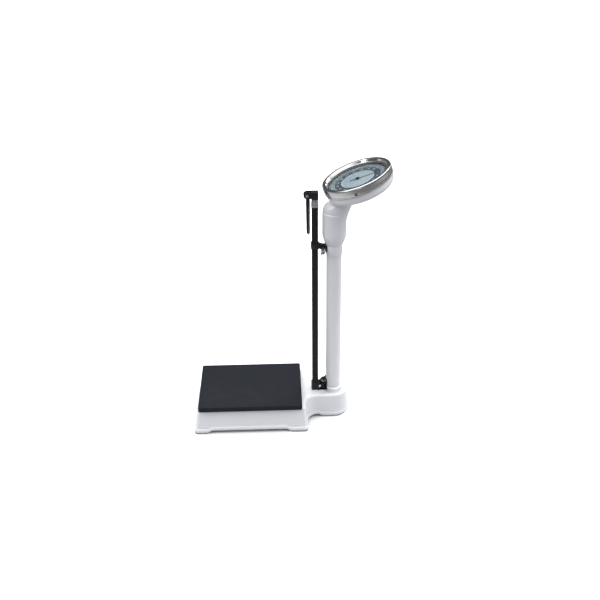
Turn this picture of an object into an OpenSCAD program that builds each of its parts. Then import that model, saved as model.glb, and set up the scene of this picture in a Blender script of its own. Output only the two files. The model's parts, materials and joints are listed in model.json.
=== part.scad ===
// Dial column scale with a telescopic height rod.
// Millimetres. +Z is up, the person stands at -Y, and the column is towards +Y.
// The origin is on the floor, under the middle of the whole object.

/* [Overall] */
// Height to the top of the dial's rim
overall_height = 948; // [940:1:960]
// Length of the base on the floor
base_length = 553; // [545:1:560]
// Width of the base on the floor
base_width = 284; // [278:1:300]

/* [Platform] */
// Width of the platform mat
mat_width = 275; // [270:1:280]
// Length of the platform mat
mat_length = 364; // [360:1:366]
// Height of the standing surface
mat_top = 110; // [109:1:112]
// How far the platform sinks under full load
platform_travel = 2; // [1:0.5:2]

/* [Column] */
// Outside diameter of the column tube
column_d = 52; // [50:0.5:52]
// Wall of the column tube
column_wall = 3; // [2:0.5:3]

/* [Dial] */
// Outside diameter of the chrome bezel
bezel_d = 232; // [228:1:236]
// Height of the bezel's side wall
bezel_h = 28; // [26:1:30]
// Tilt of the dial towards the person, in degrees
dial_tilt = 19.6; // [18:0.1:22]

/* [Height rod] */
// Side of the square outer tube
rod_side = 21; // [19:1:22]
// Top of the outer tube
rod_top = 801; // [790:1:805]

/* [Hidden] */
$fn = 96;
ROUND = 32;            // facets of round shapes inside a hull
GAP = 0.3;             // gap between pieces that move past each other
FIT = 0.05;            // radial clearance of a pin in its bore

white = [0.93, 0.94, 0.95];
black = [0.09, 0.09, 0.10];
steel = [0.62, 0.63, 0.65];
iron = [0.33, 0.35, 0.38];
chrome = [0.80, 0.81, 0.83];
rubber = [0.16, 0.17, 0.20];

// Plan positions along Y
front_y = -340;
base_back_y = front_y + base_length;
column_y = 158;
rod_y = column_y - 64;
dial_y = 225;
mat_front_y = front_y + 19;
mat_back_y = mat_front_y + mat_length;
box_back_y = 65;

// Base casting
foot_h = 5;
skirt_z = 12;
base_top = 89.5;
base_wall = 5;
wall_lean = 13;
half_base = base_width / 2;
pedestal_r = base_back_y - column_y;
pedestal_top_r = pedestal_r - 2.5;
cove_r = 60;

// Levers: both pairs of knife edges lie at knife_z
knife_z = 50;
long_fulcrum_y = -300;
short_fulcrum_y = 20;
load_arm = 60;
link_y = (long_fulcrum_y + short_fulcrum_y) / 2;
cheek_x = 95;
cheek_t = 8;
knife_len = 24;
lever_angle = platform_travel / load_arm;              // radians
draw_travel = lever_angle * (column_y - long_fulcrum_y);

// Dial frame: its local Z is the pointer's axis, its local +Y climbs to the back
bezel_r = bezel_d / 2;
dial_z = overall_height - (bezel_r - 5) * sin(dial_tilt);
glass_r = 99;
face_r = 97;
bezel_screw_angle = -8;
rack_depth = 28;
plate_depth = 36;
cup_depth = 56;
cup_wall = 4;

// Bell crank in the head
crank_half = 15.6;                                      // half of its swing, degrees
crank_in = draw_travel / (2 * sin(crank_half));
crank_out = 40;
crank_y = column_y + crank_in * (1 + cos(crank_half)) / 2;
crank_depth = rack_depth + crank_out * (1 + cos(crank_half)) / 2;
crank_along = (crank_y - dial_y - crank_depth * sin(dial_tilt)) / cos(dial_tilt);
crank_z = dial_z + crank_along * sin(dial_tilt) - crank_depth * cos(dial_tilt);
crank_pin_z = crank_z + crank_in * sin(crank_half);
rack_travel = 2 * crank_out * sin(crank_half);
rack_pin_along = crank_along + crank_out * sin(crank_half);
gear_module = 0.5;
pinion_teeth = 14;
pitch_r = gear_module * pinion_teeth / 2;
rack_addendum = 0.4;
rack_root = 0.55;
rack_body = 4;
rack_h = 5;
backlash = 0.16;

// Column and head heights
column_r = column_d / 2;
column_foot_z = 62;
column_top_z = 690;
ring_z = 629;
sleeve_z = 667;
sleeve_r = 40;
hanger_z = 778;
yoke_z = 712;
spring_x = 20;
zero_throw = 2;

// Height rod
rod_foot_z = 94;
tube_wall = 1.5;
stage_wall = 1.2;
middle_side = rod_side - 2 * tube_wall - 2 * GAP;
inner_side = middle_side - 2 * stage_wall - 2 * GAP;
pivot_y = 68;
pivot_z = 842;
lower_screw = [119, 126];                               // Y and Z of the lower wing screw
upper_screw = [119, 654];                               // Y and Z of the upper wing screw
lower_screw_angle = 22;                                 // of the bracket screws, each side of the front
upper_screw_angle = 26;

// ---------- helpers ----------

// Places children in the dial's frame, depth measured down from the rim
module at_dial(depth = 0) {
    translate([0, dial_y, dial_z]) rotate([dial_tilt, 0, 0]) translate([0, 0, -depth]) children();
}

// Places children on the column's axis at height z
module at_column(z = 0) {
    translate([0, column_y, z]) children();
}

// A bar along X
module x_rod(r, length) {
    rotate([0, 90, 0]) cylinder(r = r, h = length, center = true);
}

// A ring around Z
module ring(outer_r, inner_r, h) {
    difference() {
        cylinder(r = outer_r, h = h);
        translate([0, 0, -1]) cylinder(r = inner_r, h = h + 2);
    }
}

// A rectangle on XY with round corners
module round_rect(w, d, r) {
    square([w - 2 * r, d], center = true);
    square([w, d - 2 * r], center = true);
    for (sx = [-1, 1], sy = [-1, 1])
        translate([sx * (w / 2 - r), sy * (d / 2 - r)]) circle(r = r);
}

// A square tube standing on z = 0
module square_tube(side, wall, length) {
    linear_extrude(length) difference() {
        round_rect(side, side, 1.6);
        square(side - 2 * wall, center = true);
    }
}

// Repeats children on both sides of the middle plane
module both_sides() {
    for (side = [0, 1]) mirror([side, 0, 0]) children();
}

// Repeats children in a circle around Z
module around(count, start = 0) {
    for (i = [0 : count - 1]) rotate([0, 0, start + i * 360 / count]) children();
}

// ---------- base ----------

// Sloping box that carries the platform, grown or shrunk by inset
module base_box(inset, z0, z1) {
    corner_r = 14 - inset / 2;
    function half_x(z) = half_base - inset - wall_lean * z / base_top;
    function y_low(z) = front_y + inset + wall_lean * z / base_top;
    y_high = box_back_y - inset;
    hull() for (z = [z0, z1 - 0.5], sx = [-1, 1], end = [0, 1])
        translate([sx * (half_x(z) - corner_r),
                   end == 0 ? y_low(z) + corner_r : y_high - corner_r - wall_lean * z / base_top / 2, z])
            cylinder(r = corner_r, h = 0.5, $fn = ROUND);
}

// Neck between the box and the column, with a cove on each side
module base_neck(inset, z0, z1) {
    side_x = pedestal_r - inset;
    translate([0, column_y, 0]) rotate_extrude() polygon([
        [0, z0], [side_x, z0], [pedestal_top_r - inset, z1 - 6],
        [pedestal_top_r - inset - 2, z1 - 1.8], [pedestal_top_r - inset - 6, z1], [0, z1]
    ]);
    translate([0, column_y, 0]) rotate([90, 0, 0]) linear_extrude(column_y - box_back_y + 20) polygon([
        [-side_x, z0], [side_x, z0], [pedestal_top_r - inset, z1 - 6],
        [pedestal_top_r - inset - 2, z1 - 1.8], [pedestal_top_r - inset - 6, z1],
        [-(pedestal_top_r - inset - 6), z1], [-(pedestal_top_r - inset - 2), z1 - 1.8],
        [-(pedestal_top_r - inset), z1 - 6]
    ]);
    both_sides() translate([0, box_back_y - inset, z0]) linear_extrude(z1 - z0 - 8) difference() {
        translate([0, -10]) square([side_x + cove_r, cove_r + 10]);
        translate([side_x + cove_r, cove_r]) circle(r = cove_r);
    }
}

// The shelf on which a fulcrum block stands, reaching in from the side wall
module fulcrum_shelf() {
    translate([88, -14, 18]) cube([half_base - wall_lean / 3 - 90, 28, 10]);
}

module base_casting() {
    color(white) difference() {
        union() {
            difference() {
                union() {
                    base_box(0, foot_h, base_top);
                    base_neck(0, foot_h, base_top);
                }
                base_box(base_wall, -1, base_top + 2);
                base_neck(base_wall, -1, base_top - base_wall);
            }
            both_sides() {
                translate([0, long_fulcrum_y, 0]) fulcrum_shelf();
                translate([0, short_fulcrum_y, 0]) fulcrum_shelf();
            }
            // deck between the platform and the column
            intersection() {
                base_box(0, base_top - 12, base_top);
                translate([-half_base, mat_back_y - 5, base_top - base_wall]) cube([base_width, 60, base_wall]);
            }
        }
        // the skirt is cut away between the feet
        for (sx = [-1, 1]) translate([sx * half_base - 20, front_y + 52, -1])
            cube([40, box_back_y - front_y - 52 - 62, skirt_z + 1]);
        translate([-half_base + 52, front_y - 10, -1]) cube([base_width - 104, 40, skirt_z + 1]);
        both_sides() translate([-1, box_back_y - 12, -1]) cube([half_base - 44, 62, skirt_z + 1]);
        translate([-26, base_back_y - 20, -1]) cube([52, 40, skirt_z + 1]);
        // openings for the column and for the screws
        at_column() translate([0, 0, 60]) cylinder(r = column_r + FIT, h = 60);
        at_column() around(4, 45) translate([31, 0, 60]) cylinder(r = 2.6, h = 60);
        both_sides() for (y = [long_fulcrum_y, short_fulcrum_y])
            translate([cheek_x + 16, y, 10]) cylinder(r = 2.6, h = 30);
    }
}

module foot_pads() {
    color([0.55, 0.52, 0.50]) {
        both_sides() {
            translate([half_base - 27, front_y + 27, 0]) linear_extrude(foot_h) round_rect(50, 50, 12);
            translate([half_base - 27, box_back_y - 32, 0]) linear_extrude(foot_h) round_rect(50, 60, 10);
            at_column() translate([39, 0, 0]) linear_extrude(foot_h) round_rect(24, 54, 10);
        }
    }
}

// V block: the groove's apex is GAP under the knife line
module fulcrum_block() {
    difference() {
        translate([cheek_x + 10, -10, 28]) cube([12, 20, knife_z + 4 - 28]);
        translate([cheek_x + 9, 0, 0]) rotate([90, 0, 90]) linear_extrude(14)
            polygon([[0, knife_z - GAP], [8, knife_z + 5], [-8, knife_z + 5]]);
        translate([cheek_x + 16, 0, 20]) cylinder(r = 2.6, h = 22);
    }
}

module fulcrum_blocks() {
    color(steel) both_sides() for (y = [long_fulcrum_y, short_fulcrum_y])
        translate([0, y, 0]) fulcrum_block();
}

module block_screws() {
    color(steel) both_sides() for (y = [long_fulcrum_y, short_fulcrum_y])
        translate([cheek_x + 16, y, 0]) {
            translate([0, 0, 13.5]) cylinder(r = 4.5, h = 4.5);
            translate([0, 0, 17]) cylinder(r = 2.5, h = 22);
        }
}

// ---------- column ----------

module column_collar() {
    color(white) at_column() difference() {
        rotate_extrude() polygon(concat(
            [[column_r + FIT, base_top], [37, base_top], [37, base_top + 2.5]],
            [for (a = [-60 : 15 : 90]) [28 + 6.5 * cos(a), base_top + 10 + 7 * sin(a)]],
            [[column_r + FIT, base_top + 17]]
        ));
        around(4, 45) translate([31, 0, 80]) cylinder(r = 2.6, h = 40);
        around(4, 45) translate([31, 0, base_top + 10]) cylinder(r = 4.6, h = 20);
    }
}

module collar_bolts() {
    color(steel) at_column() around(4, 45) translate([31, 0, 0]) {
        translate([0, 0, 76]) cylinder(r = 2.5, h = base_top + 10 - 76);
        translate([0, 0, base_top + 10]) cylinder(r = 4.4, h = 4);
        translate([0, 0, 78]) cylinder(r = 4.5, h = base_top - base_wall - 78, $fn = 6);
    }
}

module column_tube() {
    color(white) difference() {
        at_column(column_foot_z) ring(column_r, column_r - column_wall, column_top_z - column_foot_z);
        lower_saddle_holes();
    }
}

module neck_ring() {
    color(white) difference() {
        at_column() rotate_extrude() polygon([
            [column_r + FIT, ring_z], [27.4, ring_z], [28.4, ring_z + 1.5], [28.4, sleeve_z - 1.5],
            [27.6, sleeve_z - GAP], [column_r + FIT, sleeve_z - GAP]
        ]);
        upper_saddle_holes();
        at_column(ring_z + 8) for (a = [20, 90, 160]) rotate([0, 0, a]) rotate([0, 90, 0])
            translate([0, 0, 20]) cylinder(r = 2.1, h = 20);
    }
}

// Grub screws that hold the ring to the column
module neck_ring_screws() {
    color(steel) at_column(ring_z + 8) for (a = [20, 90, 160]) rotate([0, 0, a]) rotate([0, 90, 0])
        difference() {
            translate([0, 0, column_r + FIT]) cylinder(r = 2, h = 2);
            translate([0, 0, column_r + 1]) cylinder(r = 1, h = 3, $fn = 6);
        }
}

// ---------- head ----------

// Rear flare that carries the round sleeve into the tilted cup
module head_flare(inset, rise) {
    hull() {
        at_column(758) cylinder(r = sleeve_r - inset, h = 1, $fn = 48);
        at_dial(cup_depth) translate([0, -61, 0]) cylinder(r = 34 - inset, h = rise, $fn = 48);
    }
}

// Round body of the sleeve with its domed shoulder, shrunk by inset
module sleeve_body(inset, z0) {
    r = sleeve_r - inset;
    at_column() rotate_extrude() polygon(concat(
        [[0, z0], [r, z0]],
        [for (a = [0 : 10 : 90]) [r - 26 + 26 * cos(a), 786 - inset + 30 * sin(a)]],
        [[0, 816 - inset]]
    ));
}

module head_casting() {
    color(white) difference() {
        union() {
            at_column() rotate_extrude() polygon([
                [0, sleeve_z], [28.4, sleeve_z], [30, sleeve_z + 3], [38, sleeve_z + 24],
                [sleeve_r - 1, sleeve_z + 29], [sleeve_r, sleeve_z + 34], [0, sleeve_z + 34]
            ]);
            sleeve_body(0, sleeve_z + 33);
            head_flare(0, 1);
            at_dial() rotate_extrude() polygon([
                [0, -cup_depth], [94, -cup_depth], [101, -cup_depth + 2], [107, -cup_depth + 7],
                [110.5, -cup_depth + 14], [112, -bezel_h - 4], [112, -14], [0, -14]
            ]);
        }
        at_column(sleeve_z - 1) cylinder(r = column_r + FIT, h = column_top_z - sleeve_z + 1);
        at_column() rotate_extrude() polygon([
            [0, column_top_z - 0.5], [23.5, column_top_z - 0.5], [23.5, 693], [36, 700], [36, 702], [0, 702]
        ]);
        sleeve_body(4, 701);
        head_flare(4.5, 6);
        // passage for the draw rod and the crank's arm
        at_column(790) cylinder(r = 9, h = 51);
        translate([-4, column_y, 798]) cube([8, 34, 39]);
        at_dial() rotate_extrude() polygon([
            [0, -cup_depth + cup_wall], [92, -cup_depth + cup_wall], [104, -cup_depth + 11],
            [107, -bezel_h - 4], [107, -13], [0, -13]
        ]);
        at_column(hanger_z + 5) translate([-40, 0, 0]) x_rod(5 + FIT, 30);
        at_dial(bezel_h - 8) around(3, bezel_screw_angle) translate([110, 0, 0]) rotate([0, 90, 0])
            cylinder(r = 1.6, h = 12, center = true);
        at_dial(cup_depth) around(4, 45) translate([84, 0, -2]) cylinder(r = 2.1, h = 12);
    }
}

module movement_plate() {
    color(steel) at_dial(plate_depth) difference() {
        union() {
            cylinder(r = 92, h = 3);
            around(4, 45) translate([84, 0, plate_depth - cup_depth + cup_wall])
                cylinder(r = 6, h = cup_depth - cup_wall - plate_depth);
        }
        translate([0, 0, -1]) cylinder(r = 2 + FIT, h = 6);
        around(4, 45) translate([84, 0, -20]) cylinder(r = 2.1, h = 30);
        translate([-9, rack_pin_along - rack_travel - 12, -1]) cube([18, rack_travel + 24, 5]);
        around(3, 90) translate([70, 0, -1]) cylinder(r = 2.1, h = 6);
        translate([0, -74, -1]) both_sides() translate([40, 0, 0]) cylinder(r = 12, h = 5);
        both_sides() translate([14, crank_along, -1]) cylinder(r = 1.6, h = 5);
    }
}

// Screws that hold the movement plate in the cup
module movement_screws() {
    color(steel) at_dial(cup_depth) around(4, 45) translate([84, 0, 0]) {
        translate([0, 0, -2.2]) cylinder(r = 4, h = 2.2);
        translate([0, 0, -1]) cylinder(r = 2, h = cup_depth - plate_depth + 3);
    }
}

// Pillars between the movement plate and the dial, with their screws
module dial_pillars() {
    color(steel) at_dial(plate_depth) around(3, 90) translate([70, 0, 0]) {
        translate([0, 0, 3]) cylinder(r = 4, h = plate_depth - 3 - 20);
        translate([0, 0, -3]) cylinder(r = 2, h = 6);
        translate([0, 0, -4]) cylinder(r = 3.5, h = 4);
    }
}

module dial_face() {
    color([0.24, 0.29, 0.35]) at_dial(20) difference() {
        cylinder(r = face_r, h = 1.5);
        translate([0, 0, -1]) cylinder(r = 3, h = 4);
    }
}

module dial_bezel() {
    lip_r = 95;
    color(chrome) at_dial() difference() {
        rotate_extrude() polygon([
            [bezel_r, -bezel_h], [bezel_r, -6], [bezel_r - 0.8, -3], [bezel_r - 2.5, -1], [bezel_r - 5, 0],
            [bezel_r - 8, -0.8], [lip_r + 3, -8], [lip_r, -8.5], [lip_r, -10], [lip_r + 5, -10],
            [bezel_r - 6, -3.2], [bezel_r - 3.6, -4.5], [bezel_r - 3, -7], [bezel_r - 3, -bezel_h]
        ]);
        translate([0, 0, 8 - bezel_h]) around(3, bezel_screw_angle) translate([114, 0, 0]) rotate([0, 90, 0])
            cylinder(r = 1.6, h = 10, center = true);
    }
}

module bezel_screws() {
    color(steel) at_dial(bezel_h - 8) around(3, bezel_screw_angle) {
        translate([111.5, 0, 0]) rotate([0, 90, 0]) cylinder(r = 1.5, h = 9, center = true);
        translate([bezel_r, 0, 0]) rotate([0, 90, 0]) cylinder(r = 4.6, h = 1);
    }
}

module dial_glass() {
    color([0.85, 0.92, 0.95, 0.35]) at_dial(13) cylinder(r = glass_r, h = 3);
}

module glass_gasket() {
    color(rubber) at_dial(18.5) ring(glass_r + 1, face_r - 2, 5.5);
}

module crank_bracket() {
    drop = crank_depth - plate_depth;
    color(steel) at_dial(plate_depth) translate([0, crank_along, 0]) both_sides() difference() {
        union() {
            translate([9.5, -6, -drop]) cube([3, 12, drop]);
            translate([9.5, -6, -2]) cube([10, 12, 2]);
            translate([11, 0, -drop]) x_rod(6, 3);
        }
        translate([10, 0, -drop]) x_rod(2 + FIT, 10);
        translate([14, 0, -3]) cylinder(r = 1.6, h = 5);
    }
}

module crank_pivot_pin() {
    color(steel) translate([0, crank_y, crank_z]) {
        x_rod(2, 27);
        translate([14.5, 0, 0]) x_rod(3.2, 2);
    }
}

// Two blocks with a channel that keep the rack straight beside the pinion
module rack_guides() {
    base_h = plate_depth - 3 - rack_depth - rack_h / 2;
    color(steel) at_dial(plate_depth - 3) for (y = [-36, -14]) translate([0, y, 0]) difference() {
        translate([-1, -4, 0]) cube([13, 8, base_h + rack_h + 2]);
        translate([pitch_r - rack_addendum - GAP, -5, base_h - GAP])
            cube([rack_body + rack_addendum + rack_root + 2 * GAP, 10, rack_h + 2 * GAP]);
    }
}

// ---------- platform ----------

module platform_plate() {
    plate_z = mat_top - 8;
    color(steel) difference() {
        union() {
            translate([0, (mat_front_y + mat_back_y) / 2, plate_z])
                linear_extrude(5) round_rect(mat_width - 8, mat_length - 8, 8);
            for (x = [-60, 0, 60]) translate([x - 3, mat_front_y + 30, plate_z - 8])
                cube([6, mat_length - 80, 8.5]);
        }
        both_sides() for (y = [long_fulcrum_y + load_arm, short_fulcrum_y - load_arm])
            translate([cheek_x + 16, y, plate_z - 1]) cylinder(r = 2.6, h = 10);
    }
}

// Rubber cover that wraps over the edge of the plate
module platform_mat() {
    mid_y = (mat_front_y + mat_back_y) / 2;
    color(rubber) difference() {
        translate([0, mid_y, mat_top - 18]) {
            linear_extrude(16.5) round_rect(mat_width, mat_length, 6);
            linear_extrude(18) round_rect(mat_width - 3, mat_length - 3, 5);
        }
        translate([0, mid_y, mat_top - 19])
            linear_extrude(16) round_rect(mat_width - 8, mat_length - 8, 8);
    }
}

// Inverted V blocks that hang from the platform onto the load knives
module platform_bearings() {
    plate_z = mat_top - 8;
    color(steel) both_sides() for (y = [long_fulcrum_y + load_arm, short_fulcrum_y - load_arm])
        translate([0, y, 0]) difference() {
            union() {
                translate([cheek_x + 10, -9, knife_z - 4]) cube([12, 18, plate_z - knife_z + 4]);
                translate([cheek_x + 4, -12, plate_z - 4]) cube([24, 24, 4]);
            }
            translate([cheek_x + 9, 0, 0]) rotate([90, 0, 90]) linear_extrude(14)
                polygon([[0, knife_z + GAP], [8, knife_z - 5], [-8, knife_z - 5]]);
            translate([cheek_x + 16, 0, plate_z - 20]) cylinder(r = 2.6, h = 25);
        }
}

module platform_bolts() {
    plate_z = mat_top - 8;
    color(steel) both_sides() for (y = [long_fulcrum_y + load_arm, short_fulcrum_y - load_arm])
        translate([cheek_x + 16, y, plate_z - 16]) cylinder(r = 2.5, h = 20.5);
}

// ---------- levers ----------

// Knife edge: a pentagon bar, its edge on the knife line, pointing down or up
module knife(points_up) {
    flip = points_up ? -1 : 1;
    translate([cheek_x, 0, knife_z]) rotate([90, 0, 90]) linear_extrude(knife_len)
        polygon([[0, 0], [3, flip * 5.7], [3, flip * 11], [-3, flip * 11], [-3, flip * 5.7]]);
}

// Square seat for a knife in a lever cheek
module knife_seat(points_up) {
    flip = points_up ? -1 : 1;
    translate([cheek_x - 1, -3, knife_z + (points_up ? -11 : 0)]) cube([cheek_t + 2, 6, 11]);
}

module long_lever() {
    load_y = long_fulcrum_y + load_arm;
    nose_y = column_y + 14;
    color(iron) difference() {
        union() {
            both_sides() {
                translate([cheek_x, long_fulcrum_y - 12, knife_z - 15]) cube([cheek_t, load_arm + 24, 30]);
                translate([0, 0, 36]) linear_extrude(10) polygon([
                    [cheek_x, load_y], [cheek_x + cheek_t, load_y], [cheek_x + cheek_t, load_y + 12],
                    [8, 72], [0, 72], [0, 58]
                ]);
            }
            translate([-8, 50, 36]) cube([16, nose_y - 50, 10]);
            translate([-50, link_y - 5, 36]) cube([100, 10, 10]);
            translate([-cheek_x - 1, long_fulcrum_y - 12, 36]) cube([2 * cheek_x + 2, 8, 10]);
        }
        both_sides() {
            translate([0, long_fulcrum_y, 0]) knife_seat(false);
            translate([0, load_y, 0]) knife_seat(true);
        }
        translate([0, link_y, 41]) rotate([90, 0, 0]) cylinder(r = 3, h = 20, center = true);
    }
}

module long_lever_knives() {
    color(steel) both_sides() {
        translate([0, long_fulcrum_y, 0]) knife(false);
        translate([0, long_fulcrum_y + load_arm, 0]) knife(true);
    }
}

// Shackle pinned to the long lever's crossbar: the short lever's nose pulls on its upper bar
module lever_link() {
    color(steel) {
        difference() {
            translate([-11, link_y - 8, 37]) cube([22, 16, 46]);
            translate([-6, link_y - 9, 50]) cube([12, 18, 27.5]);
            translate([-12, link_y - 5, 36]) cube([24, 10, 13]);
            translate([0, link_y, 41]) rotate([90, 0, 0]) cylinder(r = 3, h = 20, center = true);
        }
        translate([0, link_y, 41]) rotate([90, 0, 0]) cylinder(r = 3, h = 17, center = true);
    }
}

module short_lever() {
    load_y = short_fulcrum_y - load_arm;
    color(iron) difference() {
        union() {
            both_sides() {
                translate([cheek_x, load_y - 12, knife_z - 15]) cube([cheek_t, load_arm + 24, 41]);
                translate([0, 0, 64]) linear_extrude(12) polygon([
                    [cheek_x, load_y], [cheek_x + cheek_t, load_y], [cheek_x + cheek_t, load_y - 12],
                    [5, link_y + 10], [5, link_y - 12], [0, link_y - 12], [0, link_y + 24]
                ]);
            }
            translate([-cheek_x - 1, short_fulcrum_y - 6, 64]) cube([2 * cheek_x + 2, 8, 10]);
        }
        both_sides() {
            translate([0, short_fulcrum_y, 0]) knife_seat(false);
            translate([0, load_y, 0]) knife_seat(true);
        }
    }
}

module short_lever_knives() {
    color(steel) both_sides() {
        translate([0, short_fulcrum_y, 0]) knife(false);
        translate([0, short_fulcrum_y - load_arm, 0]) knife(true);
    }
}

// ---------- draw rod and springs ----------

// Loop that passes under the long lever's nose
module draw_stirrup() {
    color(steel) at_column() difference() {
        union() {
            translate([-15, -3, 27]) cube([30, 6, 42]);
            translate([0, 0, 66]) cylinder(r = 7, h = 16);
        }
        translate([-9.5, -4, 35]) cube([19, 8, 26]);
        translate([0, 0, 70]) cylinder(r = 4 + FIT, h = 20);
    }
}

// Rod up the column, with a clevis at its upper end
module draw_rod() {
    color(steel) at_column() difference() {
        union() {
            translate([0, 0, 70]) cylinder(r = 4, h = crank_pin_z - 81);
            translate([-5.5, -5, crank_pin_z - 13]) cube([11, 10, 18]);
        }
        translate([-2, -6, crank_pin_z - 8]) cube([4, 12, 20]);
        translate([0, 0, crank_pin_z]) x_rod(2, 20);
    }
}

module draw_pin() {
    color(steel) at_column(crank_pin_z) {
        x_rod(2, 13);
        translate([6.3, 0, 0]) x_rod(3, 1.4);
    }
}

module spring_yoke() {
    color(steel) at_column(yoke_z) difference() {
        translate([-28, -6, 0]) cube([56, 12, 8]);
        translate([0, 0, -1]) cylinder(r = 4 + FIT, h = 10);
        both_sides() translate([spring_x, 0, -1]) cylinder(r = 2.4, h = 10);
    }
}

// Lock nuts below and above the yoke, and at the stirrup
module draw_rod_nuts() {
    color(steel) at_column() for (z = [82, yoke_z - 5, yoke_z + 8]) translate([0, 0, z]) difference() {
        cylinder(r = 7.5, h = 5, $fn = 6);
        translate([0, 0, -1]) cylinder(r = 4 + FIT, h = 7);
    }
}

// Close-wound tension springs, drawn as touching turns, with their end hooks
module main_springs() {
    wire_r = 1.4;
    turns = 18;
    top_z = hanger_z - 6;
    color(steel) at_column() both_sides() translate([spring_x, 0, 0]) {
        rotate_extrude() for (i = [0 : turns - 1])
            translate([6.4, top_z - wire_r - 2.5 * i]) circle(r = wire_r, $fn = 24);
        translate([0, 0, top_z - 2]) cylinder(r = 1.4, h = 22);
        translate([0, 0, top_z - 4]) cylinder(r = 6.4, h = 2);
        translate([0, 0, yoke_z - 6]) cylinder(r = 1.4, h = 22);
        translate([0, 0, top_z - 2.5 * turns]) cylinder(r = 6.4, h = 2);
        translate([0, 0, yoke_z - 5]) cylinder(r = 3.4, h = 3);
        translate([0, 0, hanger_z + 11.5]) cylinder(r = 3.4, h = 3);
    }
}

module spring_hanger() {
    color(steel) at_column(hanger_z) difference() {
        union() {
            translate([-30, -6, 0]) cube([60, 12, 10]);
            translate([-33, -9, 0]) cube([4, 18, 10]);
        }
        translate([0, 0, -1]) cylinder(r = 5, h = 12);
        both_sides() translate([spring_x, 0, -1]) cylinder(r = 2, h = 12);
        translate([-35, -3.4, 5 - 2.5 - GAP]) cube([7, 3.4 + zero_throw + 3, 5 + 2 * GAP]);
    }
}

// Zero-setting knob on the sleeve's far side
module zero_knob() {
    color(black) at_column(hanger_z + 5) translate([-42, 0, 0]) rotate([0, -90, 0]) difference() {
        union() {
            cylinder(r = 11, h = 10);
            cylinder(r = 12.5, h = 3);
            around(12) translate([11, 0, 0]) cylinder(r = 1.2, h = 10, $fn = 24);
        }
        translate([0, 0, -1]) cylinder(r = 3, h = 7);
    }
}

// Shaft of the knob: its offset pin lifts the spring hanger
module zero_eccentric() {
    color(steel) at_column(hanger_z + 5) {
        translate([-38, 0, 0]) x_rod(5, 7);
        translate([-44, 0, 0]) x_rod(3, 8);
        translate([-31.75, zero_throw, 0]) x_rod(2.5, 6.5);
    }
}

// ---------- head movement ----------

// Bell crank: the input arm lies along -Y, the output arm's pin moves the rack
module bell_crank() {
    in_y = -crank_in * cos(crank_half);
    in_z = crank_in * sin(crank_half);
    out_a = 90 + dial_tilt - crank_half;
    color(iron) translate([0, crank_y, crank_z]) difference() {
        union() {
            x_rod(4.5, 18);
            rotate([90, 0, 90]) linear_extrude(3, center = true) {
                circle(r = 6);
                polygon([[2, -5], [-2, 5], [in_y - 4, in_z + 4.5], [in_y - 4, in_z - 4.5]]);
                rotate(out_a) translate([0, -3.5]) square([crank_out + 2.5, 7]);
            }
            rotate([out_a, 0, 0]) translate([0, crank_out, 0]) translate([4.25, 0, 0]) x_rod(1.2, 8.5);
        }
        x_rod(2 + FIT, 20);
        // slot that lets the draw pin shift as the arm swings
        translate([0, in_y, in_z]) {
            for (y = [-0.9, 0.9]) translate([0, y, 0]) x_rod(2.3, 10);
            cube([10, 1.8, 4.6], center = true);
        }
    }
}

// Rack: teeth along its inner side, an open slot at its end for the crank's pin
module rack() {
    pitch = PI * gear_module;
    half_tooth = pitch / 4 - backlash / 2;
    slope = tan(20);
    back_end = rack_travel + 5.5;
    color(steel) at_dial(rack_depth) difference() {
        union() {
            translate([pitch_r + rack_root, rack_pin_along - 4, -rack_h / 2])
                cube([rack_body, back_end - rack_pin_along + 4, rack_h]);
            translate([pitch_r + rack_root, rack_pin_along - 4, -4]) cube([rack_body, 8, 8]);
            translate([0, 0, -rack_h / 2]) linear_extrude(rack_h)
                for (i = [-4 : floor(back_end / pitch) - 1]) translate([pitch_r, (i + 0.5) * pitch]) polygon([
                    [rack_root + 0.5, -half_tooth - slope * rack_root],
                    [rack_root, -half_tooth - slope * rack_root],
                    [-rack_addendum, -half_tooth + slope * rack_addendum],
                    [-rack_addendum, half_tooth - slope * rack_addendum],
                    [rack_root, half_tooth + slope * rack_root],
                    [rack_root + 0.5, half_tooth + slope * rack_root]
                ]);
        }
        translate([0, rack_pin_along - 1.5, -5]) cube([20, 3, 7.4]);
    }
}

// Half the angle of a pinion tooth at radius r, on an involute of 20 degrees
function involute(a) = tan(a) * 180 / PI - a;
function tooth_half(r) = 90 / pinion_teeth - backlash / pitch_r * 28.6
    + involute(20) - involute(acos(min(1, pitch_r * cos(20) / r)));

module pinion_arbor() {
    root_r = pitch_r - rack_root;
    radii = [pitch_r * cos(20), pitch_r - 0.1, pitch_r + 0.15, pitch_r + rack_addendum];
    color(steel) at_dial(rack_depth) {
        translate([0, 0, -12.5]) cylinder(r = 2, h = rack_depth + 12.5 - 16.2);
        translate([0, 0, -rack_h / 2]) linear_extrude(rack_h) {
            circle(r = root_r);
            around(pinion_teeth) polygon(concat(
                [[0, 0]],
                [for (r = radii) [r * cos(tooth_half(r)), -r * sin(tooth_half(r))]],
                [for (i = [3 : -1 : 0]) [radii[i] * cos(tooth_half(radii[i])), radii[i] * sin(tooth_half(radii[i]))]]
            ));
        }
    }
}

module pointer() {
    color([0.10, 0.11, 0.14]) at_dial(17) {
        difference() {
            linear_extrude(0.8) {
                polygon([[-1.8, -24], [1.8, -24], [1.4, 0], [0.5, 84], [-0.5, 84], [-1.4, 0]]);
                circle(r = 7);
            }
            translate([0, 0, -1]) cylinder(r = 2, h = 3);
        }
    }
}

module pointer_cap() {
    color(black) at_dial(16.2) cylinder(r = 5, h = 2.2);
}

// ---------- height rod ----------

module at_rod(z = 0) {
    translate([0, rod_y, z]) children();
}

module rod_outer_tube() {
    color(black) at_rod(rod_foot_z) square_tube(rod_side, tube_wall, rod_top - rod_foot_z);
}

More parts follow.
